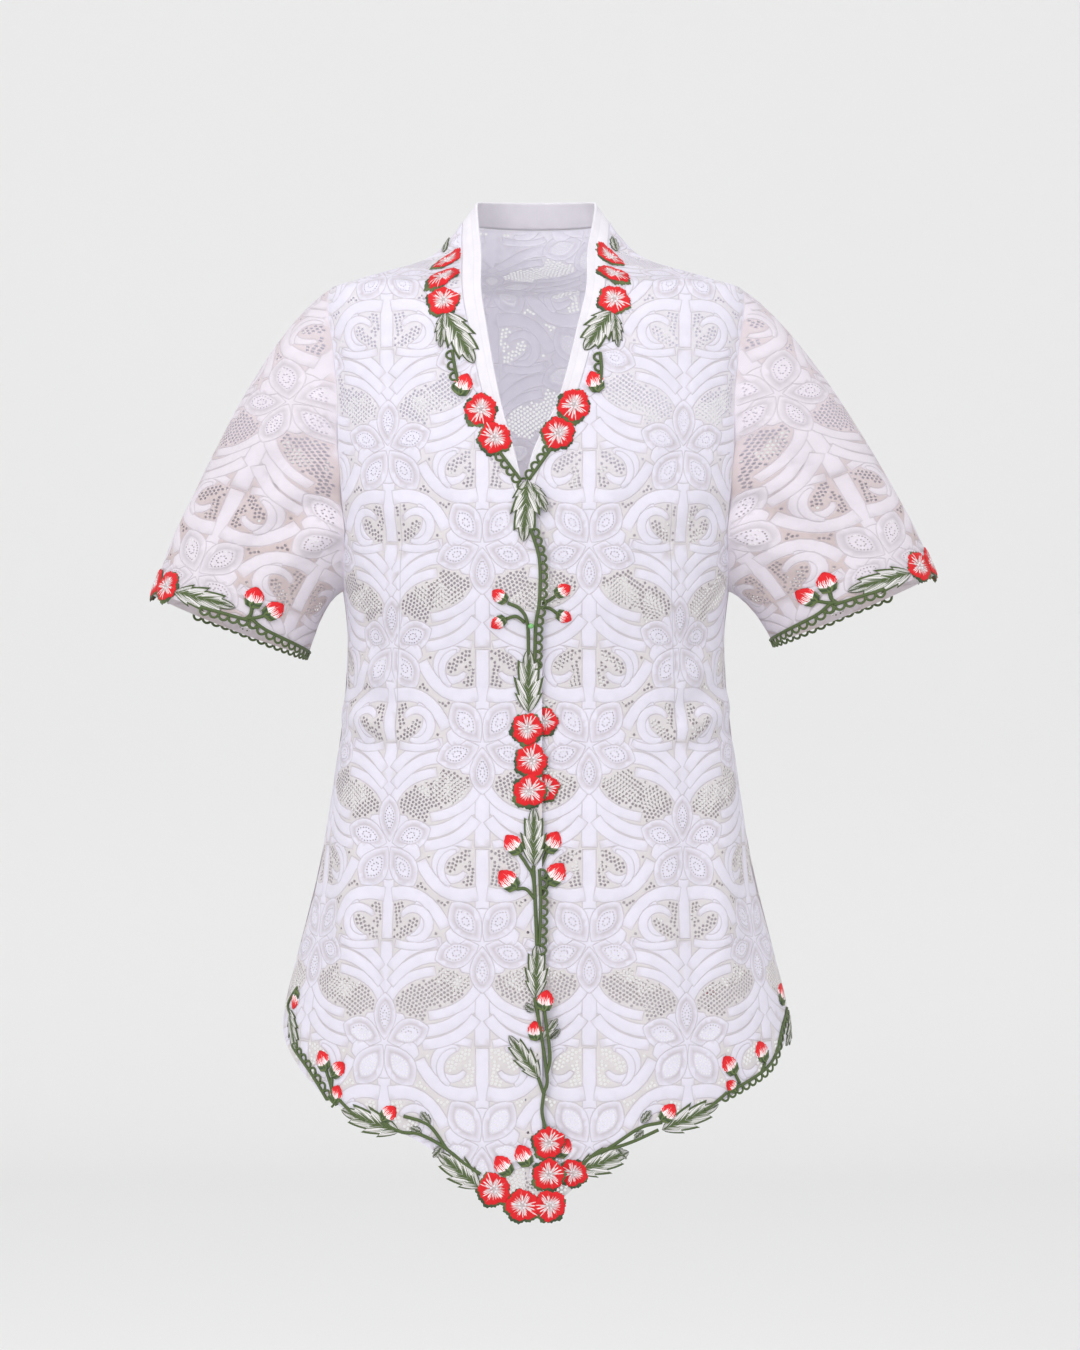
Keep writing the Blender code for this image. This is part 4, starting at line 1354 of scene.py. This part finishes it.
def embroider(name, cloth, work, side=1, flat=False):
    # work lists flowers, leaves, buds, stems and chains by (x, z), or by flat places
    def spot(place):
        return np.array(place, float) if flat else np.array(mmLine(cloth, [place], side)[0])

    def reachOf(row):
        # one end, the run to the other end, its direction and its length
        a = spot(row[:2])
        run = spot(row[2:4]) - a
        return a, run, math.atan2(run[1], run[0]), np.linalg.norm(run)

    rng = np.random.default_rng(len(name) + 7 * side)
    flowers, leaves, buds, sepals = [], [], [], []
    base, rise = embroidery["stacked"]
    for k, f in enumerate(work["flowers"]):
        tall, spin = (f[3], math.radians(f[4])) if len(f) > 3 else (embroidery["tall"], rng.uniform(0.0, 6.28))
        flowers.append((*spot(f[:2]), base + rise * (k % 3), spin, f[2], f[2] * tall))
    inward, down = embroidery["rimShift"]
    rims = [(u - inward * a * side, v - down * a, 0.1, s, a, b) for u, v, _, s, a, b in flowers]
    for row in work["leaves"]:
        a, run, turn, size = reachOf(row)
        leaves.append((*a, 0.1, turn, size, row[4] / 2))
    for row in work["buds"]:
        a, run, turn, size = reachOf(row)
        long, wide = embroidery["budSize"]
        buds.append((*(a + run * embroidery["budFrom"]), 0.25, turn, size * long, size * wide))
        first, wide = a - run * embroidery["sepalFrom"], size * embroidery["sepalWidth"]
        for lean, reach in embroidery["sepals"]:
            sepals.append((*first, 0.6, turn + lean, size * reach, wide))
    layers = (("rim", "stem", rims), ("flower", "flower", flowers[::2]),
              ("flowerTwo", "flower", flowers[1::2]), ("knots", "knot", flowers),
              ("leaf", "leaf", leaves), ("bud", "bud", buds), ("sepal", "stem", sepals))
    meshes = [placeMotifs(key, thread, spots) for key, thread, spots in layers if spots]
    chains = [([spot(p) for p in line], bow) for line, bow in work["chains"]]
    lines = [[spot(p) for p in line] for line in work["stems"]] + [line for line, _ in chains]
    meshes.append(growPath("stems", lines, Width=embroidery["stemWidth"]))
    for bow, key in ((1, "outerLoop"), (-1, "innerLoop")):
        chosen = [line for line, way in chains if way == bow]
        if chosen:
            meshes.append(growPath("chain", chosen, Loop=motifs[key], Pitch=embroidery["chainPitch"]))
    return wrapOn(name, cloth, meshes)


def wrapOn(name, cloth, meshes):
    # lays flat work on the cloth and joins it as one piece
    spots, faces, marks, slots, materials = [], [], [], [], []
    for mesh in meshes:
        thread = [material for material in mesh.materials if material][-1]
        if thread not in materials:
            materials.append(thread)
        first = sum(len(part) for part in spots)
        stitch = mesh.attributes["stitch"].data
        for kept, rows, label in ((spots, mesh.vertices, "co"), (marks, stitch, "vector")):
            values = np.zeros(len(rows) * 3)
            rows.foreach_get(label, values)
            kept.append(values.reshape(-1, 3))
        for face in mesh.polygons:
            faces.append([first + k for k in face.vertices])
            slots.append(materials.index(thread))
    spots = np.concatenate(spots)
    lift = (np.maximum(spots[:, 2], embroidery["sunk"]) + embroidery["lift"]) * 0.001
    places = layOn(cloth, spots[:, 0] * 0.001, spots[:, 1] * 0.001, lift)
    grid = cloth["points"]
    along, up = grid[40, 41] - grid[40, 40], grid[41, 40] - grid[40, 40]
    if np.cross(along, up) @ cloth["normals"][40, 40] < 0.0:
        faces = [face[::-1] for face in faces]
    mesh = newMesh(name, places.tolist(), faces)
    for material in materials:
        mesh.materials.append(material)
    mesh.polygons.foreach_set("material_index", slots)
    markPoints(mesh, "stitch", np.concatenate(marks))
    print(name, len(mesh.polygons), "faces")
    return addPiece(mesh)


# flowers: (x, z, radius); leaves: (base, tip, width); buds: (base, tip); all in millimetres
frontRightWork = {
    "flowers": [(-74, -15, 24.0, 0.29, 112), (-77, -30, 22.0, 0.42, 116), (-77, -52, 13.0),
                (-45, -145, 13.0), (-33.5, -168.5, 13.0),
                (-7, -407, 12.5), (-3.5, -433, 13.0), (-5, -458, 13.0),
                (10.5, -744, 12.5), (10.5, -770, 12.5), (-11, -795, 13.0), (11.5, -795, 12.5)],
    "leaves": [(-78, -6, -73, 8, 8), (-75, -62, -51, -106, 27), (-77, -64, -79, -92, 12),
               (-7, -203, -10, -254, 25), (-4, -206, 9, -230, 12),
               (-6, -394, -6, -342, 25), (-2, -519, -2, -472, 22), (0, -626, 1, -583, 20),
               (3, -692, -22, -657, 18), (-1, -637, -9, -632, 8), (6, -660, 18, -643, 9)],
    "buds": [(-63, -133, -57, -117), (-24, -303, -34, -295), (-25, -316, -35, -323),
             (-13, -509, -23, -496), (-16, -538, -28, -525), (0, -661, -1, -647), (6, -637, 9, -622),
             (-21, -770, -31, -757), (-6, -763, -13, -748)],
    "stems": [[(-23, -304), (-13, -309), (-7, -320), (-6, -346)], [(-24, -317), (-16, -315), (-9, -320)],
              [(-13, -510), (-7, -519), (-2, -530), (0, -560)], [(-16, -538), (-8, -538), (-1, -546)],
              [(-1, -626), (9, -688), (6.5, -704), (5, -719), (8, -733)], [(7, -637), (11.5, -673), (9, -688)],
              [(2, -691), (7, -706)], [(-2, -519), (0, -560), (1, -584)]],
    "chains": [([(-69, -95), (-67, -108), (-64, -122)], 1), ([(-30, -180), (-12, -204)], 1),
               ([(-4, -244), (3, -269), (3, -302), (0, -322), (-1, -351)], -1),
               ([(3, -522), (4, -550), (3, -584)], -1)],
}
frontLeftWork = {
    "flowers": [(62, -12, 23.0, 0.31, 112), (65, -28, 22.0, 0.44, 116), (65, -51, 13.0),
                (31.5, -141, 13.0), (18.5, -164, 13.0),
                (7, -401, 11.0), (8, -455, 11.0), (31, -769, 11.0)],
    "leaves": [(68, -6, 64, 8, 9), (63, -61, 40, -95, 26), (65, -64, 68, -92, 12), (12, -660, 20, -652, 6)],
    "buds": [(52, -130, 46, -115), (16, -298, 27, -291), (17, -313, 28, -318),
             (9, -508, 17, -493), (10, -534, 21, -519), (18, -756, 26, -743)],
    "stems": [[(3, -306), (10, -303), (16, -299)], [(3, -308), (11, -309), (17, -313)],
              [(3, -522), (6, -515), (9, -508)], [(3, -545), (6, -540), (10, -534)]],
    "chains": [([(53, -97), (54, -110), (53, -123)], -1), ([(13, -176), (-6, -203)], -1)],
}
hemRightWork = {
    "flowers": [(-34, -782, 13.0)],
    "leaves": [(-206, -644, -199, -676, 18), (-112, -737, -160, -721, 23), (-46, -781, -80, -753, 24),
               (-86, -730, -94, -720, 8), (-93, -737, -103, -733, 7), (-76, -748, -84, -757, 8)],
    "buds": [(-200, -627, -203, -641), (-173, -690, -178, -676), (-168, -694, -159, -684),
             (-167, -716, -163, -703), (-126, -728, -116, -718)],
    "stems": [[(-200, -625), (-208, -640), (-205, -648)], [(-173, -690), (-169, -702), (-166, -716)],
              [(-168, -695), (-168, -708), (-164, -718)], [(-163, -712), (-152, -722), (-140, -729)],
              [(-126, -729), (-110, -737), (-96, -738), (-77, -747), (-60, -760), (-45, -770)],
              [(-108, -724), (-93, -728), (-84, -734), (-72, -751)]],
    "chains": [([(-203, -673), (-192, -686), (-182, -699), (-172, -714)], -1)],
}
hemLeftWork = {
    "flowers": [],
    "leaves": [(103, -735, 150, -716, 22), (34, -768, 76, -752, 23), (214, -648, 209, -674, 16),
               (86, -729, 94, -719, 8), (88, -735, 80, -742, 7), (66, -749, 74, -758, 8)],
    "buds": [(206, -640, 206, -625), (190, -684, 185, -669), (164, -692, 156, -679), (166, -706, 158, -699),
             (103, -728, 112, -716)],
    "stems": [[(190, -685), (186, -694)], [(164, -692), (168, -700)],
              [(157, -707), (147, -715), (138, -720)], [(103, -729), (85, -733), (61, -748), (45, -756)],
              [(100, -735), (79, -744), (63, -749), (52, -751), (38, -762)]],
    "chains": [([(211, -644), (206, -658), (200, -678), (192, -689), (175, -699), (158, -707)], 1)],
}
backHemWork = {
    "flowers": [(-14, -672, 13.0), (11, -675, 13.0), (118, -657, 12.5), (-122, -656, 12.5)],
    "leaves": [(30, -674, 68, -667, 21), (-32, -673, -70, -666, 21), (202, -642, 168, -649, 18),
               (-204, -641, -170, -649, 18)],
    "buds": [(76, -664, 80, -650), (-78, -664, -84, -650), (150, -654, 154, -640), (-152, -654, -158, -640),
             (4, -662, 0, -648)],
    "stems": [[(24, -676), (70, -670), (106, -662)], [(-26, -676), (-72, -669), (-110, -661)],
              [(128, -660), (150, -654), (170, -650)], [(-132, -660), (-152, -654), (-172, -650)]],
    "chains": [([(66, -670), (86, -667), (106, -662)], -1), ([(-68, -669), (-88, -666), (-110, -661)], 1),
               ([(130, -661), (148, -656), (170, -650)], -1), ([(-134, -660), (-152, -655), (-172, -650)], 1)],
}
sleeveWork = {  # round from the top and up from the hem, in flat millimetres
    "flowers": [(14, 10, 12.0), (38, 9, 12.5), (-8, 8, 11.0)],
    "leaves": [(50, 6, 100, 11, 21), (-22, 7, -64, 12, 20)],
    "buds": [(111, 16, 109, 32), (122, 13, 131, 27), (-118, 14, -112, 30)],
    "stems": [[(109, 4), (112, 10), (111, 17)], [(110, 6), (116, 9), (122, 14)],
              [(-122, 3), (-120, 8), (-118, 15)]],
    "chains": [([(76, 1), (95, 3), (112, 5)], -1), ([(114, 7), (128, 3), (160, 2), (188, 2)], -1),
               ([(-62, 2), (-90, 4), (-120, 3), (-160, 2), (-188, 2)], 1)],
}
works = {  # the panel each length of embroidery lies on, its side and its table
    "front_right": ("front_right", -1, frontRightWork),
    "front_left": ("front_left", 1, frontLeftWork),
    "hem_right": ("front_right", -1, hemRightWork),
    "hem_left": ("front_left", 1, hemLeftWork),
    "hem_back": ("back", 1, backHemWork),
    "sleeve_right": ("sleeve_right", -1, sleeveWork),
    "sleeve_left": ("sleeve_left", 1, sleeveWork),
}
trims = {"edging_" + key: embroider("trim_" + key, clothOf[panel], work, side, "sleeve" in panel)
         for key, (panel, side, work) in works.items()}
print("embroidery laid")


# Doubled cloth stands along the neck edge, with a rolled rim.
neckBand = {
    "thickness": 0.0014,
    "rim": 0.00045,
    "gap": 0.0004,    # from the seam it is sewn along
    "foldAt": 0.60,
    "centre": (0.0, -0.020, 0.080),
    "softening": 26,
}


def bandStations():
    # angle, height and width of the band, from its right end round the back to its left end
    def frontRun(side, heights):
        return [(float(angleAt(seamX[side](z), z)), z, float(bandWidth[side](z))) for z in heights]

    low, high = bodyForm["backBand"]
    back = []
    for k in range(1, 26):
        share = k / 26
        width = low + (high - low) * math.sin(math.pi * share)
        back.append((-90.0 - 180.0 * share, bodyForm["backTop"], width))
    return np.array(frontRun(-1, np.linspace(bodyForm["bandEnd"], 0.021, 52)) + back
                    + frontRun(1, np.linspace(0.021, bodyForm["bandEnd"], 52)))


def makeBand():
    angle, z, width = bandStations().T
    point = bodyPoint(angle, z)
    normal = np.cross(bodyPoint(angle + 0.5, z) - bodyPoint(angle - 0.5, z),
                      bodyPoint(angle, z + 0.002) - bodyPoint(angle, z - 0.002))
    normal /= np.linalg.norm(normal, axis=1)[:, None]
    sink = np.where(angle > 0.0, lapShare(point[:, 0], z), 0.0)
    point -= normal * (bodyForm["lapDepth"] * sink)[:, None]
    rise = np.cross(normal, np.gradient(point, axis=0))
    rise /= np.linalg.norm(rise, axis=1)[:, None]
    toward = ((np.array(neckBand["centre"]) - point) * rise).sum(1)
    rise[toward < 0.0] *= -1.0
    for _ in range(neckBand["softening"]):
        rise[1:-1] = rise[:-2] + 2.0 * rise[1:-1] + rise[2:]
        rise /= np.linalg.norm(rise, axis=1)[:, None]
    deep, rim, fold = neckBand["thickness"], neckBand["rim"], neckBand["foldAt"]
    section = [  # share of the width, height off the cloth
        (0.0, -0.3 * deep), (0.03, 0.0), (0.10, 0.2 * rim), (0.3, 0.3 * rim), (fold - 0.06, 0.3 * rim),
        (fold, -0.1 * rim), (fold + 0.06, 0.3 * rim), (0.86, 0.3 * rim), (0.93, rim), (0.985, 0.9 * rim),
        (1.0, -0.4 * deep), (0.985, -deep - 0.4 * rim), (0.93, -deep - 0.5 * rim), (0.86, -deep),
        (0.5, -deep), (0.1, -deep), (0.0, -0.8 * deep),
    ]
    reach = lengthAlong(point)
    verts, marks, uvs = [], [], []
    count, rows = len(section), len(point)
    for i in range(rows):
        for t, h in section:
            verts.append(tuple(point[i] + rise[i] * (neckBand["gap"] + t * width[i]) + normal[i] * h))
            outer = h > -0.5 * deep
            # the fold on the outer face gets a faint painted shade through the groove mark; the sewn edge is
            # marked as a seam
            marks.append((0.15 if outer and abs(t - fold) < 0.01 else 0.0, 0.0, 0.4 if t < 0.02 else 0.0))
            uvs.append((reach[i], t * width[i]))
    faces = gridFaces(rows, count, flip=True)
    faces += [tuple(range(count))[::-1], tuple(range((rows - 1) * count, rows * count))]
    mesh = newMesh("band_neck", verts, faces)
    mesh.calc_loop_triangles()
    volume = 0.0
    for tri in mesh.loop_triangles:
        a, b, c = (mesh.vertices[k].co for k in tri.vertices)
        volume += a.dot(b.cross(c))
    if volume < 0.0:
        mesh.flip_normals()
    markPoints(mesh, "lace", marks)
    layFlat(mesh, uvs)
    mesh.materials.append(bandLace)
    return addPiece(mesh), float(reach[-1]), float(np.trapz(width, reach))


bead = {"glass": (0.05, 0.30, 0.06, 1.0), "light": (0.20, 0.55, 0.14, 1.0), "flat": 0.94, "dip": 0.25}


def makeBead():
    # a small glass ball with a sunk hole at either end
    low, high = (np.array(corner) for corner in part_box("front_bead"))
    middle, radius = (low + high) / 2, float((high - low).max()) / 2
    rows, around = 15, 24
    verts = []
    for i in range(rows):
        a = math.pi * (0.06 + 0.88 * i / (rows - 1))
        for k in range(around):
            b = 2 * math.pi * k / around
            verts.append((middle[0] + radius * math.sin(a) * math.cos(b),
                          middle[1] + radius * math.sin(a) * math.sin(b),
                          middle[2] + radius * bead["flat"] * math.cos(a)))
    faces = gridFaces(rows, around)
    for ring, dip in ((0, -bead["dip"]), ((rows - 1) * around, bead["dip"])):
        tip = len(verts)
        verts.append((middle[0], middle[1], verts[ring][2] + dip * radius))
        for k in range(around):
            n = (k + 1) % around
            faces.append((ring + k, ring + n, tip) if dip < 0 else (ring + n, ring + k, tip))
    mesh = newMesh("bead_front", verts, faces)
    material, tree, shader = newMaterial("beadGlass", 0.12, coat=0.8, specular=0.7)
    place = tree.nodes.new("ShaderNodeTexCoord").outputs["Object"]
    swirl = addNode(tree, "ShaderNodeTexNoise", Vector=place, Scale=420.0, Detail=2.0).outputs[0]
    tree.links.new(mixColour(tree, swirl, bead["glass"], bead["light"]), shader.inputs["Base Color"])
    tree.links.new(plus(tree, times(tree, swirl, 0.08), 0.07), shader.inputs["Roughness"])
    mesh.materials.append(material)
    return addPiece(mesh)


band, bandLength, bandArea = makeBand()
beadPiece = makeBead()
print("neck band and bead made")


studio = {
    "camera": (0.0034, -3.2, -0.363),
    "lens": 100.4,
    "floor": -1.30,
    "wall": 4.6,
    "bend": 0.8,
    "paper": (0.86, 0.86, 0.86),
    "world": 0.88,
    "lights": {  # place, target, size, power
        "key": ((-1.8, -2.6, 1.2), (0.0, 0.0, -0.35), 1.6, 38.0),
        "fill": ((2.2, -2.2, 0.0), (0.0, 0.0, -0.35), 2.2, 12.0),
        "top": ((0.0, -1.2, 1.9), (0.0, 0.0, -0.2), 1.4, 14.0),
    },
}


def makeCamera():
    camera = bpy.data.objects.new("camera", bpy.data.cameras.new("camera"))
    camera.data.lens = studio["lens"]
    camera.data.sensor_width = 36.0
    camera.location = studio["camera"]
    camera.rotation_euler = (math.radians(90.0), 0.0, 0.0)
    bpy.context.scene.collection.objects.link(camera)
    bpy.context.scene.camera = camera


def makeBackdrop():
    # a sheet of paper that bends up from the floor to the wall
    floor, wall, bend = studio["floor"], studio["wall"], studio["bend"]
    profile = [(-6.0, floor)]
    for k in range(13):
        turn = math.pi / 2 * k / 12
        profile.append((wall - bend + bend * math.sin(turn), floor + bend - bend * math.cos(turn)))
    profile.append((wall, 5.0))
    verts = [(x, y, z) for x in (-7.0, 7.0) for y, z in profile]
    count = len(profile)
    mesh = newMesh("backdrop", verts, [(k, k + 1, count + k + 1, count + k) for k in range(count - 1)])
    material, tree, shader = newMaterial("backdropPaper", 0.9, specular=0.1)
    place = tree.nodes.new("ShaderNodeTexCoord").outputs["Object"]
    mottle = useGroup(tree, clothMottle, Vector=place, Scale=1.5, Amount=0.01)
    shadeEvenly(tree, shader, studio["paper"], mottle.outputs["Tone"])
    mesh.materials.append(material)
    addPiece(mesh)


def addLight(name, place, target, size, power):
    light = bpy.data.objects.new(name, bpy.data.lights.new(name, "AREA"))
    light.data.shape = "DISK"
    light.data.size = size
    light.data.energy = power
    light.location = place
    light.rotation_euler = (Vector(target) - Vector(place)).to_track_quat("-Z", "Y").to_euler()
    bpy.context.scene.collection.objects.link(light)


makeCamera()
makeBackdrop()
world = bpy.data.worlds.new("studio")
world.use_nodes = True
world.node_tree.nodes["Background"].inputs[0].default_value = (1.0, 1.0, 1.0, 1.0)
world.node_tree.nodes["Background"].inputs[1].default_value = studio["world"]
bpy.context.scene.world = world
bpy.context.scene.view_settings.view_transform = "Standard"
for name, light in studio["lights"].items():
    addLight(name, *light)
print("studio set")

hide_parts("neck_band")
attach(band, "root")
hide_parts("front_bead")
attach(beadPiece, "root")
for node, piece in trims.items():
    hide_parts(node)
    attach(piece, "root")
for name, (piece, area) in panels.items():
    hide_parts(name)
    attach(piece, "root")
